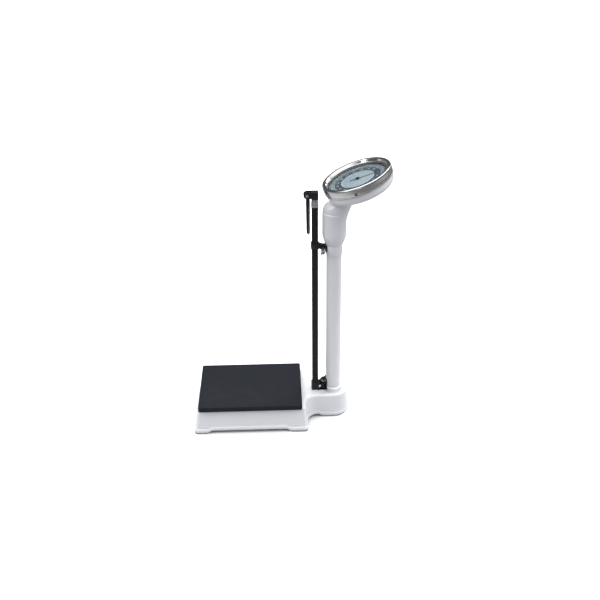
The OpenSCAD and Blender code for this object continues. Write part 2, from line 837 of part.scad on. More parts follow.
module rod_end_plug() {
    color(black) at_rod(rod_foot_z) linear_extrude(10) square(rod_side - 2 * tube_wall, center = true);
}

module rod_collar() {
    color(chrome) at_rod(rod_top) difference() {
        hull() {
            linear_extrude(2) round_rect(24, 24, 3, $fn = ROUND);
            translate([0, 0, 13]) linear_extrude(2) round_rect(22, 22, 3, $fn = ROUND);
        }
        translate([0, 0, -1]) linear_extrude(20) square(middle_side + 2 * GAP, center = true);
    }
}

module rod_middle_tube() {
    color(black) at_rod(rod_foot_z + 14)
        square_tube(middle_side, stage_wall, rod_top + 15 - rod_foot_z - 14 + GAP);
}

module middle_collar() {
    color(chrome) at_rod(rod_top + 15 + GAP) difference() {
        hull() {
            linear_extrude(1) round_rect(22, 22, 3, $fn = ROUND);
            translate([0, 0, 10]) linear_extrude(1) round_rect(19.5, 19.5, 3, $fn = ROUND);
        }
        translate([0, 0, -1]) linear_extrude(20) square(inner_side + 2 * GAP, center = true);
    }
}

module rod_inner_tube() {
    color(steel) at_rod(rod_foot_z + 20) square_tube(inner_side, stage_wall, 846 - rod_foot_z - 20);
}

module arm_bracket() {
    low = rod_top + 15 + GAP + 11 + GAP;
    color(black) difference() {
        union() {
            translate([-11, 83, low]) cube([22, rod_y + 11 - 83, 853 - low]);
            both_sides() translate([6.4, 0, 0]) rotate([90, 0, 90]) linear_extrude(4.6) {
                translate([pivot_y, pivot_z]) circle(r = 11);
                translate([pivot_y, pivot_z - 11]) square([18, 22]);
            }
        }
        at_rod(low - 1) linear_extrude(846 - low + 1) square(inner_side, center = true);
        translate([0, pivot_y, pivot_z]) x_rod(3 + FIT, 40);
    }
}

module arm_pivot_screw() {
    color(steel) translate([0, pivot_y, pivot_z]) {
        x_rod(3, 25);
        translate([12.3, 0, 0]) x_rod(5, 2.4);
        translate([-12.3, 0, 0]) rotate([0, 90, 0]) cylinder(r = 5, h = 2.6, center = true, $fn = 6);
    }
}

module arm_bar() {
    color(black) difference() {
        union() {
            translate([0, pivot_y, pivot_z]) x_rod(7, 12);
            rotate([90, 0, 90]) linear_extrude(12, center = true)
                polygon([[65, 842], [65, 800], [74.3, 800], [74.3, 842]]);
            rotate([90, 0, 90]) linear_extrude(22, center = true) polygon([
                [65, 825], [66.5, 714], [68, 709], [71, 708], [75.6, 709], [77.6, 712],
                [77.6, 825], [74, 828], [67, 828]
            ]);
        }
        translate([-14, 74, 622]) cube([28, 1.6, 175]);
        translate([0, pivot_y, pivot_z]) x_rod(3 + FIT, 40);
        rivet_holes(2.05);
    }
}

module rivet_holes(r) {
    for (z = [726, 780]) translate([0, 70, z]) rotate([90, 0, 0]) cylinder(r = r, h = 30, center = true);
}

module arm_blade() {
    color(steel) difference() {
        translate([0, 75.6, 0]) rotate([90, 0, 0]) linear_extrude(1.6) {
            translate([0, (623 + 796) / 2]) round_rect(26, 796 - 623, 4);
        }
        rivet_holes(2.05);
    }
}

module blade_rivets() {
    color(steel) for (z = [726, 780]) translate([0, 0, z]) rotate([-90, 0, 0]) {
        translate([0, 0, 66]) cylinder(r = 2, h = 11.6);
        translate([0, 0, 77.6]) cylinder(r = 3.4, h = 1.2);
    }
}

// Radial screw holes in the brackets' saddles and in what they sit on
module upper_saddle_holes() {
    at_column(655) for (a = [-90 - upper_screw_angle, upper_screw_angle - 90]) rotate([0, 0, a])
        rotate([0, 90, 0]) cylinder(r = 2.05, h = 50);
}

module lower_saddle_holes() {
    at_column(128) for (a = [-90 - lower_screw_angle, lower_screw_angle - 90]) rotate([0, 0, a])
        rotate([0, 90, 0]) cylinder(r = 2.05, h = 50);
}

// One bracket's two screws: heads at head_r, tips at tip_r from the column's axis
module screw_pair(z, angle, tip_r, head_r) {
    at_column(z) for (a = [-90 - angle, angle - 90]) rotate([0, 0, a]) rotate([0, 90, 0]) {
        translate([0, 0, tip_r]) cylinder(r = 2, h = head_r - tip_r);
        translate([0, 0, head_r]) cylinder(r = 3.6, h = 2);
    }
}

module bracket_screws() {
    color(steel) {
        screw_pair(655, upper_screw_angle, column_r + 0.1, 33);
        screw_pair(128, lower_screw_angle, 22, 31);
    }
}

// Saddle: an arc pad on a round surface of radius r, half_angle each side of the front
module saddle(r, thickness, half_angle, h) {
    intersection() {
        ring(r + thickness, r, h);
        linear_extrude(h) polygon([
            [0, 0], [-80 * sin(half_angle), -80 * cos(half_angle)], [0, -90],
            [80 * sin(half_angle), -80 * cos(half_angle)]
        ]);
    }
}

module upper_bracket() {
    color(black) difference() {
        union() {
            at_rod(653) linear_extrude(18) round_rect(rod_side + 6, rod_side + 6, 3);
            hull() {
                translate([-8, rod_y + 11, 654]) cube([16, 2, 15]);
                translate([-8, 124, 646]) cube([16, 2, 18]);
            }
            translate([-8, 124, 646]) cube([16, 4, 18]);
            at_column(645) saddle(28.4, 4.6, 36, 20);
        }
        at_rod(650) linear_extrude(40) square(rod_side, center = true);
        translate([-1.2, rod_y + 5, 630]) cube([2.4, 29, 60]);
        translate([0, 125.3, 630]) cube([30, 1.4, 60]);
        at_column(600) cylinder(r = 28.4, h = 100);
        translate([0, upper_screw[0], upper_screw[1]]) x_rod(3 + FIT, 40);
        upper_saddle_holes();
    }
}

module lower_bracket() {
    color(black) difference() {
        union() {
            at_rod(rod_foot_z - 4) linear_extrude(28) round_rect(rod_side + 6, rod_side + 6, 3);
            hull() {
                translate([-8, rod_y + 11, 104]) cube([16, 2, 13]);
                translate([-8, 122, 120]) cube([16, 2, 14]);
            }
            translate([-8, 122, 120]) cube([16, 7, 14]);
            at_column(119) saddle(26, 5, 32, 16);
        }
        at_rod(rod_foot_z) linear_extrude(60) square(rod_side, center = true);
        translate([-1.2, rod_y + 5, rod_foot_z]) cube([2.4, 28, 80]);
        translate([0, 124, 90]) cube([30, 1.4, 60]);
        at_column(60) cylinder(r = 26, h = 100);
        translate([0, lower_screw[0], lower_screw[1]]) x_rod(3 + FIT, 40);
        lower_saddle_holes();
    }
}

// Wing screw along X: shank through the ears, then a hub, then the wings
module wing_screw(reach, hub_x, wing_r, wing_t, wings) {
    translate([(hub_x - 12) / 2, 0, 0]) x_rod(3, hub_x + 12);
    translate([8 + GAP, 0, 0]) rotate([0, 90, 0]) cylinder(r = 5.5, h = hub_x - 8 - GAP);
    translate([hub_x, 0, 0]) rotate([0, 90, 0]) cylinder(r = 7, h = reach);
    for (i = [0 : wings - 1]) rotate([45 + i * 360 / wings, 0, 0])
        translate([hub_x + 1, 0, 0]) rotate([90, 0, 90]) linear_extrude(reach - 2) {
            translate([wing_r - wing_t, 0]) circle(r = wing_t);
            translate([0, -wing_t * 0.7]) square([wing_r - wing_t, wing_t * 1.4]);
        }
}

module upper_wing_screw() {
    color(steel) translate([0, upper_screw[0], upper_screw[1]]) wing_screw(6, 39, 12, 3, 2);
}

module lower_wing_screw() {
    color(black) translate([0, lower_screw[0], lower_screw[1]]) wing_screw(9, 37, 23, 3, 4);
}

// ---------- nodes ----------

base_casting();
foot_pads();
fulcrum_blocks();
block_screws();
column_collar();
collar_bolts();
column_tube();
neck_ring();
neck_ring_screws();
head_casting();
movement_plate();
movement_screws();
dial_pillars();
dial_face();
dial_bezel();
bezel_screws();
dial_glass();
glass_gasket();
crank_bracket();
crank_pivot_pin();
rack_guides();
platform_plate();
platform_mat();
platform_bearings();
platform_bolts();
long_lever();
long_lever_knives();
lever_link();
short_lever();
short_lever_knives();
draw_stirrup();
draw_rod();
draw_pin();
spring_yoke();
draw_rod_nuts();
main_springs();
spring_hanger();
zero_knob();
zero_eccentric();
bell_crank();
rack();
pinion_arbor();
pointer();
pointer_cap();
rod_outer_tube();
rod_end_plug();
rod_collar();
upper_bracket();
lower_bracket();
bracket_screws();
upper_wing_screw();
lower_wing_screw();
rod_middle_tube();
middle_collar();
rod_inner_tube();
arm_bracket();
arm_pivot_screw();
arm_bar();
arm_blade();
blade_rivets();
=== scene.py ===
"""Looks of the dial column scale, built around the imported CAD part. Metres, in the part's own frame."""

import json
import math

import bmesh
import bpy
import numpy as np
from mathutils import Matrix, Vector

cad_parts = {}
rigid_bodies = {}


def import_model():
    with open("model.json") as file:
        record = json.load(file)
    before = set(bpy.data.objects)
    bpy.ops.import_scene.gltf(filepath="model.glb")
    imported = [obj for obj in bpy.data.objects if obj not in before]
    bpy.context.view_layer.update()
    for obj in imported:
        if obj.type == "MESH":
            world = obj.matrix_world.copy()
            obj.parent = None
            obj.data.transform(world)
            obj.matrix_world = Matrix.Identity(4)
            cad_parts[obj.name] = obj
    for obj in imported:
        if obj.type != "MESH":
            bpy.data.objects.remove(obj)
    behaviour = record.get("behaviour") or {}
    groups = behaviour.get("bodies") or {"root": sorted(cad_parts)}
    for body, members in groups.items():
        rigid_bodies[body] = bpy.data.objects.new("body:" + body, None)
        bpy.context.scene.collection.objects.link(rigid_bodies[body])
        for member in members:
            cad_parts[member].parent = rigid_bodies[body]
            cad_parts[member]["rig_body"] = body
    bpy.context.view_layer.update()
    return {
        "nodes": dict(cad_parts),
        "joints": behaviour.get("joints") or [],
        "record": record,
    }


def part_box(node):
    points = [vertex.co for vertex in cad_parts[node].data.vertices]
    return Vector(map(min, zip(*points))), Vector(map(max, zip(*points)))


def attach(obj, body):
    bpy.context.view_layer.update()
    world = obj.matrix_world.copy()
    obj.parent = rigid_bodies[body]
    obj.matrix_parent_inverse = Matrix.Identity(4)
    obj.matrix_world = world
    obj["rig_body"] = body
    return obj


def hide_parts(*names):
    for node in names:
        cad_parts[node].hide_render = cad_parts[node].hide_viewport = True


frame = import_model()
JOINTS = {j["name"]: j for j in frame["joints"]}
MM = 0.001

# ---------- camera ----------

CAMERA_AT = Vector((2.6967, -0.0282, 1.9472))
YAW, PITCH, ROLL = 0.0262, 0.5052, -0.0110
ahead = Vector((-math.cos(YAW) * math.cos(PITCH), math.sin(YAW) * math.cos(PITCH), -math.sin(PITCH)))
level_right = Vector((math.sin(YAW), math.cos(YAW), 0))
level_up = level_right.cross(ahead)
right = level_right * math.cos(ROLL) + level_up * math.sin(ROLL)
up = right.cross(ahead)
camera_data = bpy.data.cameras.new("camera")
camera_data.lens = 53.86
camera_data.sensor_width = 36
camera_data.clip_start, camera_data.clip_end = 0.01, 100
camera = bpy.data.objects.new("camera", camera_data)
camera.matrix_world = Matrix((
    (right.x, up.x, -ahead.x, CAMERA_AT.x),
    (right.y, up.y, -ahead.y, CAMERA_AT.y),
    (right.z, up.z, -ahead.z, CAMERA_AT.z),
    (0, 0, 0, 1),
))
bpy.context.scene.collection.objects.link(camera)
bpy.context.scene.camera = camera
bpy.context.scene.view_settings.view_transform = "Standard"

# ---------- materials ----------


class Nodes:
    """Small helper for building one material's node tree."""

    def __init__(self, name):
        self.material = bpy.data.materials.new(name)
        self.material.use_nodes = True
        self.tree = self.material.node_tree
        self.shader = self.tree.nodes["Principled BSDF"]
        self.place = self.new("ShaderNodeTexCoord").outputs["Object"]

    def new(self, kind, **inputs):
        node = self.tree.nodes.new(kind)
        for key, value in inputs.items():
            self.put(node.inputs[key.replace("_", " ")], value)
        return node

    def put(self, socket, value):
        if isinstance(value, bpy.types.NodeSocket):
            self.tree.links.new(value, socket)
        else:
            socket.default_value = value

    def math(self, operation, a, b=0.0, c=0.0):
        node = self.tree.nodes.new("ShaderNodeMath")
        node.operation = operation
        for socket, value in zip(node.inputs, (a, b, c)):
            self.put(socket, value)
        return node.outputs[0]

    def noise(self, scale, detail=3.0, rough=0.5, stretch=None):
        place = self.place
        if stretch:
            mapping = self.new("ShaderNodeMapping", Vector=place)
            mapping.inputs["Scale"].default_value = stretch
            place = mapping.outputs[0]
        texture = self.new("ShaderNodeTexNoise", Vector=place, Scale=scale, Detail=detail, Roughness=rough)
        return texture.outputs["Fac"]

    def span(self, value, low, high, to_low, to_high):
        node = self.new("ShaderNodeMapRange", Value=value)
        for key, number in (("From Min", low), ("From Max", high), ("To Min", to_low), ("To Max", to_high)):
            node.inputs[key].default_value = number
        return node.outputs[0]

    def mix(self, factor, a, b):
        node = self.tree.nodes.new("ShaderNodeMix")
        node.data_type = "RGBA"
        self.put(next(i for i in node.inputs if i.identifier == "Factor_Float"), factor)
        for letter, value in (("A", a), ("B", b)):
            socket = next(i for i in node.inputs if i.identifier == letter + "_Color")
            self.put(socket, value if isinstance(value, bpy.types.NodeSocket) else (*value, 1))
        return next(o for o in node.outputs if o.identifier == "Result_Color")

    def bump(self, *layers):
        """Layers of (height, strength, distance in metres), one on top of another."""
        normal = None
        for height, strength, distance in layers:
            node = self.new("ShaderNodeBump", Height=height, Strength=strength, Distance=distance)
            if normal:
                self.put(node.inputs["Normal"], normal)
            normal = node.outputs[0]
        self.put(self.shader.inputs["Normal"], normal)

    def worn(self, colour, edge, amount):
        """Edge wear: the colour turns to edge where the surface bends sharply outwards."""
        point = self.tree.nodes.new("ShaderNodeNewGeometry").outputs["Pointiness"]
        sharp = self.span(point, 0.52, 0.60, 0.0, amount)
        broken = self.math("MULTIPLY", sharp, self.span(self.noise(90.0, 4.0), 0.4, 0.6, 0.0, 1.0))
        return self.mix(broken, colour, edge)

    def set(self, **inputs):
        for key, value in inputs.items():
            self.put(self.shader.inputs[key.replace("_", " ")], value)


def enamel(name, tone, shade, wear=0.25):
    """Gloss stove enamel on a casting: orange peel, cast unevenness, faint grime in patches."""
    n = Nodes(name)
    cloud = n.noise(7.0, 5.0, 0.6)
    grime = n.span(n.noise(26.0, 6.0, 0.7), 0.55, 0.78, 0.0, 0.35)
    base = n.mix(n.span(cloud, 0.3, 0.7, 0.0, 1.0), tone, shade)
    n.set(Base_Color=n.worn(n.mix(grime, base, [c * 0.90 for c in shade]), [c * 0.82 for c in shade], wear),
          Roughness=n.span(n.noise(18.0, 4.0), 0.3, 0.7, 0.16, 0.26))
    n.shader.inputs["Specular IOR Level"].default_value = 0.5
    n.shader.inputs["Coat Weight"].default_value = 0.35
    n.shader.inputs["Coat Roughness"].default_value = 0.08
    n.bump((n.noise(900.0, 2.0), 0.10, 0.0002), (n.noise(38.0, 3.0), 0.12, 0.0012))
    return n.material


def powder_coat(name, tone, light, wear=0.45):
    """Black powder coat: fine grain, dust, rubbed edges."""
    n = Nodes(name)
    dust = n.span(n.noise(24.0, 4.0, 0.6), 0.35, 0.75, 0.0, 0.6)
    n.set(Base_Color=n.worn(n.mix(dust, tone, light), (0.12, 0.12, 0.13), wear),
          Roughness=n.span(n.noise(120.0, 4.0), 0.3, 0.7, 0.34, 0.5))
    n.shader.inputs["Specular IOR Level"].default_value = 0.22
    n.bump((n.noise(2200.0, 2.0), 0.14, 0.0001), (n.noise(300.0, 3.0), 0.06, 0.0003))
    return n.material


def moulded_plastic(name, tone, light):
    """Moulded plastic with a fine spark-eroded grain."""
    n = Nodes(name)
    cells = n.new("ShaderNodeTexVoronoi", Vector=n.place, Scale=1500.0).outputs["Distance"]
    dust = n.span(n.noise(40.0, 5.0), 0.35, 0.75, 0.0, 0.6)
    n.set(Base_Color=n.worn(n.mix(dust, tone, light), light, 0.5),
          Roughness=n.span(n.noise(160.0, 3.0), 0.3, 0.7, 0.36, 0.5))
    n.shader.inputs["Specular IOR Level"].default_value = 0.28
    n.bump((cells, 0.14, 0.0001))
    return n.material


def brushed(name, tone, shade, stretch, rough=(0.2, 0.38)):
    """Brushed or drawn metal. The stretch is small along the brushing."""
    n = Nodes(name)
    lines = n.noise(700.0, 4.0, 0.6, stretch)
    stain = n.span(n.noise(22.0, 5.0, 0.65), 0.45, 0.75, 0.0, 0.55)
    n.set(Base_Color=n.mix(stain, n.mix(lines, tone, [c * 0.86 for c in tone]), shade), Metallic=1.0,
          Roughness=n.span(lines, 0.3, 0.7, *rough))
    n.bump((lines, 0.25, 0.00008), (n.noise(60.0, 3.0), 0.08, 0.0004))
    return n.material


def cast_iron(name, tone, shade):
    """Sand-cast iron in grey primer, with rust beginning in patches."""
    n = Nodes(name)
    rust = n.span(n.noise(30.0, 8.0, 0.75), 0.60, 0.72, 0.0, 0.6)
    n.set(Base_Color=n.mix(rust, n.mix(n.noise(14.0, 4.0), tone, shade), (0.16, 0.075, 0.035)),
          Roughness=n.span(n.noise(80.0, 4.0), 0.3, 0.7, 0.55, 0.8), Metallic=0.25)
    n.bump((n.noise(420.0, 6.0, 0.7), 0.7, 0.0004), (n.noise(60.0, 4.0), 0.3, 0.0012))
    return n.material


def mat_rubber(name):
    """Rubber of the mat: fine pimples, pale scuffs and streaks."""
    n = Nodes(name)
    pimples = n.new("ShaderNodeTexVoronoi", Vector=n.place, Scale=620.0).outputs["Distance"]
    scuff = n.span(n.noise(9.0, 8.0, 0.72), 0.5, 0.72, 0.0, 1.0)
    streak = n.span(n.noise(40.0, 6.0, 0.65, (1.0, 7.0, 1.0)), 0.56, 0.74, 0.0, 0.5)
    colour = n.mix(scuff, (0.0105, 0.0118, 0.0170), (0.0125, 0.0140, 0.0195))
    n.set(Base_Color=n.mix(streak, colour, (0.0150, 0.0165, 0.0225)),
          Roughness=n.span(n.noise(30.0, 6.0), 0.3, 0.7, 0.5, 0.68))
    n.shader.inputs["Specular IOR Level"].default_value = 0.16
    n.bump((pimples, 0.4, 0.0002), (n.noise(70.0, 4.0), 0.12, 0.0006))
    return n.material


def plain_rubber(name, tone, light):
    """Matt rubber with a fine grain and a little bloom."""
    n = Nodes(name)
    n.set(Base_Color=n.mix(n.span(n.noise(60.0, 6.0, 0.7), 0.35, 0.75, 0.0, 1.0), tone, light),
          Roughness=n.span(n.noise(50.0, 4.0), 0.3, 0.7, 0.7, 0.9))
    n.bump((n.noise(1100.0, 3.0), 0.4, 0.0002))
    return n.material


WHITE = enamel("white_enamel", (0.70, 0.705, 0.73), (0.675, 0.68, 0.705))
WHITE_TUBE = enamel("white_tube_enamel", (0.70, 0.703, 0.722), (0.68, 0.683, 0.702), 0.0)
BLACK = powder_coat("black_powder_coat", (0.0085, 0.0085, 0.010), (0.0115, 0.0115, 0.0135))
BLACK_TUBE = powder_coat("black_tube_coat", (0.0085, 0.0085, 0.010), (0.0115, 0.0115, 0.0135), 0.0)
PLASTIC = moulded_plastic("black_plastic", (0.008, 0.008, 0.0095), (0.016, 0.0165, 0.019))
STEEL = brushed("bright_steel", (0.56, 0.565, 0.58), (0.38, 0.38, 0.39), (1.0, 1.0, 0.03))
ZINC = brushed("zinc_steel", (0.58, 0.60, 0.58), (0.42, 0.43, 0.44), (1.0, 0.08, 1.0), (0.3, 0.5))
BRASS = brushed("brass_gear", (0.80, 0.60, 0.27), (0.50, 0.35, 0.14), (1.0, 1.0, 0.1), (0.22, 0.4))
IRON = cast_iron("lever_iron", (0.17, 0.18, 0.19), (0.10, 0.105, 0.115))
MAT = mat_rubber("mat_rubber")
PAD = plain_rubber("foot_rubber", (0.34, 0.29, 0.265), (0.24, 0.21, 0.195))
SEAL = plain_rubber("seal_rubber", (0.03, 0.03, 0.032), (0.055, 0.055, 0.058))


def chrome():
    """Polished trim: fine swirls on top, and a rougher side wall whose darker colour is painted shade. Local
    Z is the dial's axis.
    """
    n = Nodes("chrome_trim")
    depth = n.new("ShaderNodeSeparateXYZ", Vector=n.place).outputs["Z"]
    # Mask of the side wall: its colour is darkened there as painted shade, and its roughness is raised for a
    # satin finish.
    wall = n.span(depth, -0.0075, -0.0045, 1.0, 0.0)
    swirl = n.noise(240.0, 5.0, 0.65, (1.0, 1.0, 6.0))
    haze = n.span(n.noise(20.0, 6.0, 0.7), 0.45, 0.75, 0.0, 1.0)
    polished = n.mix(haze, (0.80, 0.81, 0.82), (0.70, 0.71, 0.72))
    # The side wall's darker colour (0.64, 0.625, 0.60) is painted shade; the added roughness below is its
    # satin finish.
    n.set(Base_Color=n.mix(n.math("MULTIPLY", wall, 0.85), polished, (0.64, 0.625, 0.60)), Metallic=1.0,
          Roughness=n.math("ADD", n.span(swirl, 0.3, 0.7, 0.045, 0.10), n.math("MULTIPLY", wall, 0.10)))
    n.bump((n.noise(900.0, 2.0, 0.5, (1.0, 1.0, 12.0)), 0.04, 0.0001), (n.noise(26.0, 2.0), 0.05, 0.0008))
    return n.material


# Each printed ring of the dial: where it starts, as a share of the glass's radius, and its colour.
DIAL_RINGS = (
    (0.545, (0.60, 0.64, 0.70)),
    (0.56, (0.050, 0.062, 0.085)),
    (0.79, (0.50, 0.54, 0.60)),
    (0.80, (0.20, 0.23, 0.27)),
    (0.955, (0.55, 0.58, 0.62)),
    (0.965, (0.10, 0.12, 0.15)),
)


def dial_print(glass_r):
    """Printed dial: rings by radius in the dial's own frame, with paper-like unevenness."""
    n = Nodes("dial_print")
    axes = n.new("ShaderNodeSeparateXYZ", Vector=n.place).outputs
    squares = [n.math("MULTIPLY", axes[axis], axes[axis]) for axis in ("X", "Y")]
    share = n.math("DIVIDE", n.math("SQRT", n.math("ADD", *squares)), glass_r)
    colour = n.mix(n.span(n.noise(11.0, 4.0), 0.3, 0.7, 0.0, 1.0), (0.36, 0.395, 0.45), (0.32, 0.355, 0.405))
    for start, tone in DIAL_RINGS:
        colour = n.mix(n.math("GREATER_THAN", share, start), colour, tone)
    n.set(Base_Color=colour, Roughness=n.span(n.noise(60.0, 3.0), 0.3, 0.7, 0.30, 0.42))
    n.bump((n.noise(700.0, 3.0), 0.10, 0.0001))
    return n.material


def ink(name, tone):
    """Satin ink or paint, laid on thin."""
    n = Nodes(name)
    n.set(Base_Color=n.mix(n.noise(300.0, 3.0), tone, [c * 0.9 + 0.01 for c in tone]),
          Roughness=n.span(n.noise(120.0, 3.0), 0.3, 0.7, 0.28, 0.40))
    n.bump((n.noise(900.0, 2.0), 0.08, 0.0001))
    return n.material


def clear_glass():
    """Flat glass: clear, with gloss from its angle and a little dust."""
    n = Nodes("dial_glass")
    dust = n.span(n.noise(70.0, 8.0, 0.75), 0.52, 0.8, 0.0, 0.05)
    n.set(Base_Color=n.mix(dust, (0.97, 0.99, 0.985), (0.8, 0.8, 0.8)),
          Roughness=n.span(dust, 0.0, 0.05, 0.01, 0.06), Transmission_Weight=1.0, IOR=1.5)
    gap = n.tree.nodes.new("ShaderNodeBsdfTransparent")
    gap.inputs["Color"].default_value = (0.94, 0.97, 0.965, 1)
    gloss = n.new("ShaderNodeBsdfGlossy", Roughness=n.span(dust, 0.0, 0.05, 0.015, 0.08))
    fresnel = n.new("ShaderNodeFresnel", IOR=1.32).outputs[0]
    in_front = n.math("SUBTRACT", 1.0, n.tree.nodes.new("ShaderNodeNewGeometry").outputs["Backfacing"])
    see = n.new("ShaderNodeMixShader", Fac=n.math("MULTIPLY", fresnel, in_front))
    n.tree.links.new(gap.outputs[0], see.inputs[1])
    n.tree.links.new(gloss.outputs[0], see.inputs[2])
    both = n.new("ShaderNodeMixShader", Fac=n.math("ADD", 0.04, dust))
    n.tree.links.new(see.outputs[0], both.inputs[1])
    n.tree.links.new(n.shader.outputs[0], both.inputs[2])
    n.tree.links.new(both.outputs[0], n.tree.nodes["Material Output"].inputs["Surface"])
    return n.material


# ---------- mesh helpers ----------


def finish_piece(name, mesh, body, material, nodes=(), place=None, angle=32):
    """Makes an object of a mesh whose points are in metres, ties it to its body, and hides the CAD nodes it
    replaces.
    """
    mesh.materials.clear()
    mesh.materials.append(material)
    mesh.shade_smooth()
    mesh.set_sharp_from_angle(angle=math.radians(angle))
    piece = bpy.data.objects.new(name, mesh)
    bpy.context.scene.collection.objects.link(piece)
    if place:
        piece.matrix_world = place
    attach(piece, body)
    if nodes:
        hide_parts(*nodes)
    return piece


def mesh_of(name, points, faces):
    """A mesh from points in millimetres, with doubles merged and its normals outwards."""
    work = bmesh.new()
    verts = [work.verts.new([c * MM for c in p]) for p in points]
    for face in faces:
        if len(set(face)) > 2:
            try:
                work.faces.new([verts[i] for i in face])
            except ValueError:
                pass
    bmesh.ops.remove_doubles(work, verts=work.verts, dist=1e-6)
    bmesh.ops.recalc_face_normals(work, faces=work.faces)
    mesh = bpy.data.meshes.new(name)
    work.to_mesh(mesh)
    work.free()
    return mesh


def fillet(points, radii, steps=6, closed=True):
    """A polygon's points with each corner turned into an arc of its radius."""
    made, count = [], len(points)
    for i, (point, radius) in enumerate(zip(points, radii)):
        p = np.array(point, float)
        if radius <= 0 or (not closed and i in (0, count - 1)):
            made.append(tuple(p))
            continue
        a, b = np.array(points[i - 1], float) - p, np.array(points[(i + 1) % count], float) - p
        la, lb = np.linalg.norm(a), np.linalg.norm(b)
        a, b = a / la, b / lb
        half = math.acos(max(-1, min(1, a @ b))) / 2
        if half > math.pi / 2 - 0.01:
            made.append(tuple(p))
            continue
        reach = min(radius / math.tan(half), 0.499 * la, 0.499 * lb)
        r = reach * math.tan(half)
        middle = (a + b) / np.linalg.norm(a + b)
        centre = p + middle * (r / math.sin(half))
        start, end = p + a * reach - centre, p + b * reach - centre
        turn = math.atan2(start[0] * end[1] - start[1] * end[0], start @ end)
        for k in range(steps + 1):
            t = turn * k / steps
            made.append((centre[0] + start[0] * math.cos(t) - start[1] * math.sin(t),
                         centre[1] + start[0] * math.sin(t) + start[1] * math.cos(t)))
    return made


def loft(rings, cap_first=True, cap_last=True, closed_loop=False):
    """Points and faces that join rings of equally many points."""
    size = len(rings[0])
    points = [p for ring in rings for p in ring]
    faces, last = [], len(rings) if closed_loop else len(rings) - 1
    for r in range(last):
        a, b = r * size, (r + 1) % len(rings) * size
        faces += [(a + i, a + (i + 1) % size, b + (i + 1) % size, b + i) for i in range(size)]
    if not closed_loop:
        if cap_first:
            faces.append(tuple(range(size - 1, -1, -1)))
        if cap_last:
            faces.append(tuple(range((len(rings) - 1) * size, len(rings) * size)))
    return points, faces


def lathe(profile, segments=128, closed=True):
    """Turns (radius, z) points around Z. A closed profile makes a ring."""
    rings = [[(r * math.cos(2 * math.pi * i / segments), r * math.sin(2 * math.pi * i / segments), z)
              for i in range(segments)] for r, z in profile]
    return loft(rings, False, False, closed)


def outset(outline, amount):
    """Moves a closed, counterclockwise outline's points along its normals. Positive is outwards."""
    p = np.array(outline, float)
    a, b = p - np.roll(p, 1, 0), np.roll(p, -1, 0) - p
    na = np.stack([a[:, 1], -a[:, 0]], 1) / (np.linalg.norm(a, axis=1, keepdims=True) + 1e-9)
    nb = np.stack([b[:, 1], -b[:, 0]], 1) / (np.linalg.norm(b, axis=1, keepdims=True) + 1e-9)
    n = na + nb
    n /= np.maximum(np.linalg.norm(n, axis=1, keepdims=True), 0.4) ** 2 / 2
    return [tuple(x) for x in p + n * amount]


def slab(outline, z0, z1, edge, steps=3):
    """An outline raised from z0 to z1 with rounded edges."""
    rings = []
    for low in (True, False):
        for k in range(steps + 1):
            t = math.pi / 2 * (k / steps if low else 1 - k / steps)
            inset = -edge * (1 - math.sin(t))
            z = z0 + edge * (1 - math.cos(t)) if low else z1 - edge * (1 - math.cos(t))
            rings.append([(x, y, z) for x, y in outset(outline, inset)])
    return loft(rings)


def turned(points, matrix):
    """The points after a matrix."""
    return [tuple(matrix @ Vector(p)) for p in points]


def joined(*parts):
    """Several (points, faces) in one."""
    points, faces = [], []
    for more, its_faces in parts:
        base = len(points)
        points += more
        faces += [tuple(i + base for i in f) for f in its_faces]
    return points, faces


def softened(name, node, material, edge):
    """A copy of a CAD node's shape with its sharp edges rounded by edge, in millimetres."""
    mesh = frame["nodes"][node].data.copy()
    work = bmesh.new()
    work.from_mesh(mesh)
    bmesh.ops.remove_doubles(work, verts=work.verts, dist=2e-6)
    bmesh.ops.dissolve_limit(work, angle_limit=math.radians(1.0), verts=work.verts, edges=work.edges)
    sharp = [e for e in work.edges if len(e.link_faces) == 2 and e.calc_face_angle(0) > math.radians(32)]
    bmesh.ops.bevel(work, geom=sharp, offset=edge * MM, segments=2, profile=0.5, affect="EDGES",
                    clamp_overlap=True)
    work.to_mesh(mesh)
    work.free()
    mesh.name = name
    return finish_piece(name, mesh, frame["nodes"][node]["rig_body"], material, (node,))


def modified(mesh, *modifiers):
    """The mesh after modifiers, given as (type, {setting: value})."""
    holder = bpy.data.objects.new("holder", mesh)
    bpy.context.scene.collection.objects.link(holder)
    for kind, settings in modifiers:
        modifier = holder.modifiers.new(kind.lower(), kind)
        for key, value in settings.items():
            setattr(modifier, key, value)
    done = bpy.data.meshes.new_from_object(holder.evaluated_get(bpy.context.evaluated_depsgraph_get()))
    bpy.data.objects.remove(holder)
    return done


def edges(node):
    """A CAD node's box in millimetres: lowest and highest corner."""
    low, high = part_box(node)
    return low / MM, high / MM


# ---------- places, from the CAD part ----------
# Sizes below are in millimetres, and so are the points that mesh_of takes. Matrices are in metres.

BASE_LOW, BASE_HIGH = edges("base_casting")
TUBE_LOW, TUBE_HIGH = edges("column_tube")
COLUMN_Y, COLUMN_R = (TUBE_LOW.y + TUBE_HIGH.y) / 2, TUBE_HIGH.x
POINTER = JOINTS["pointer_turn"]
DIAL_AT = Vector(POINTER["pos_m"])
DIAL_AXIS = Vector(POINTER["axis"]).normalized()
TILT = math.atan2(-DIAL_AXIS.y, DIAL_AXIS.z)
DIAL_FRAME = Matrix.Translation(DIAL_AT) @ Matrix.Rotation(TILT, 4, "X")
GLASS_R = (edges("dial_glass")[1].x - edges("dial_glass")[0].x) / 2
COLUMN_FRAME = Matrix.Translation((0, COLUMN_Y * MM, 0))

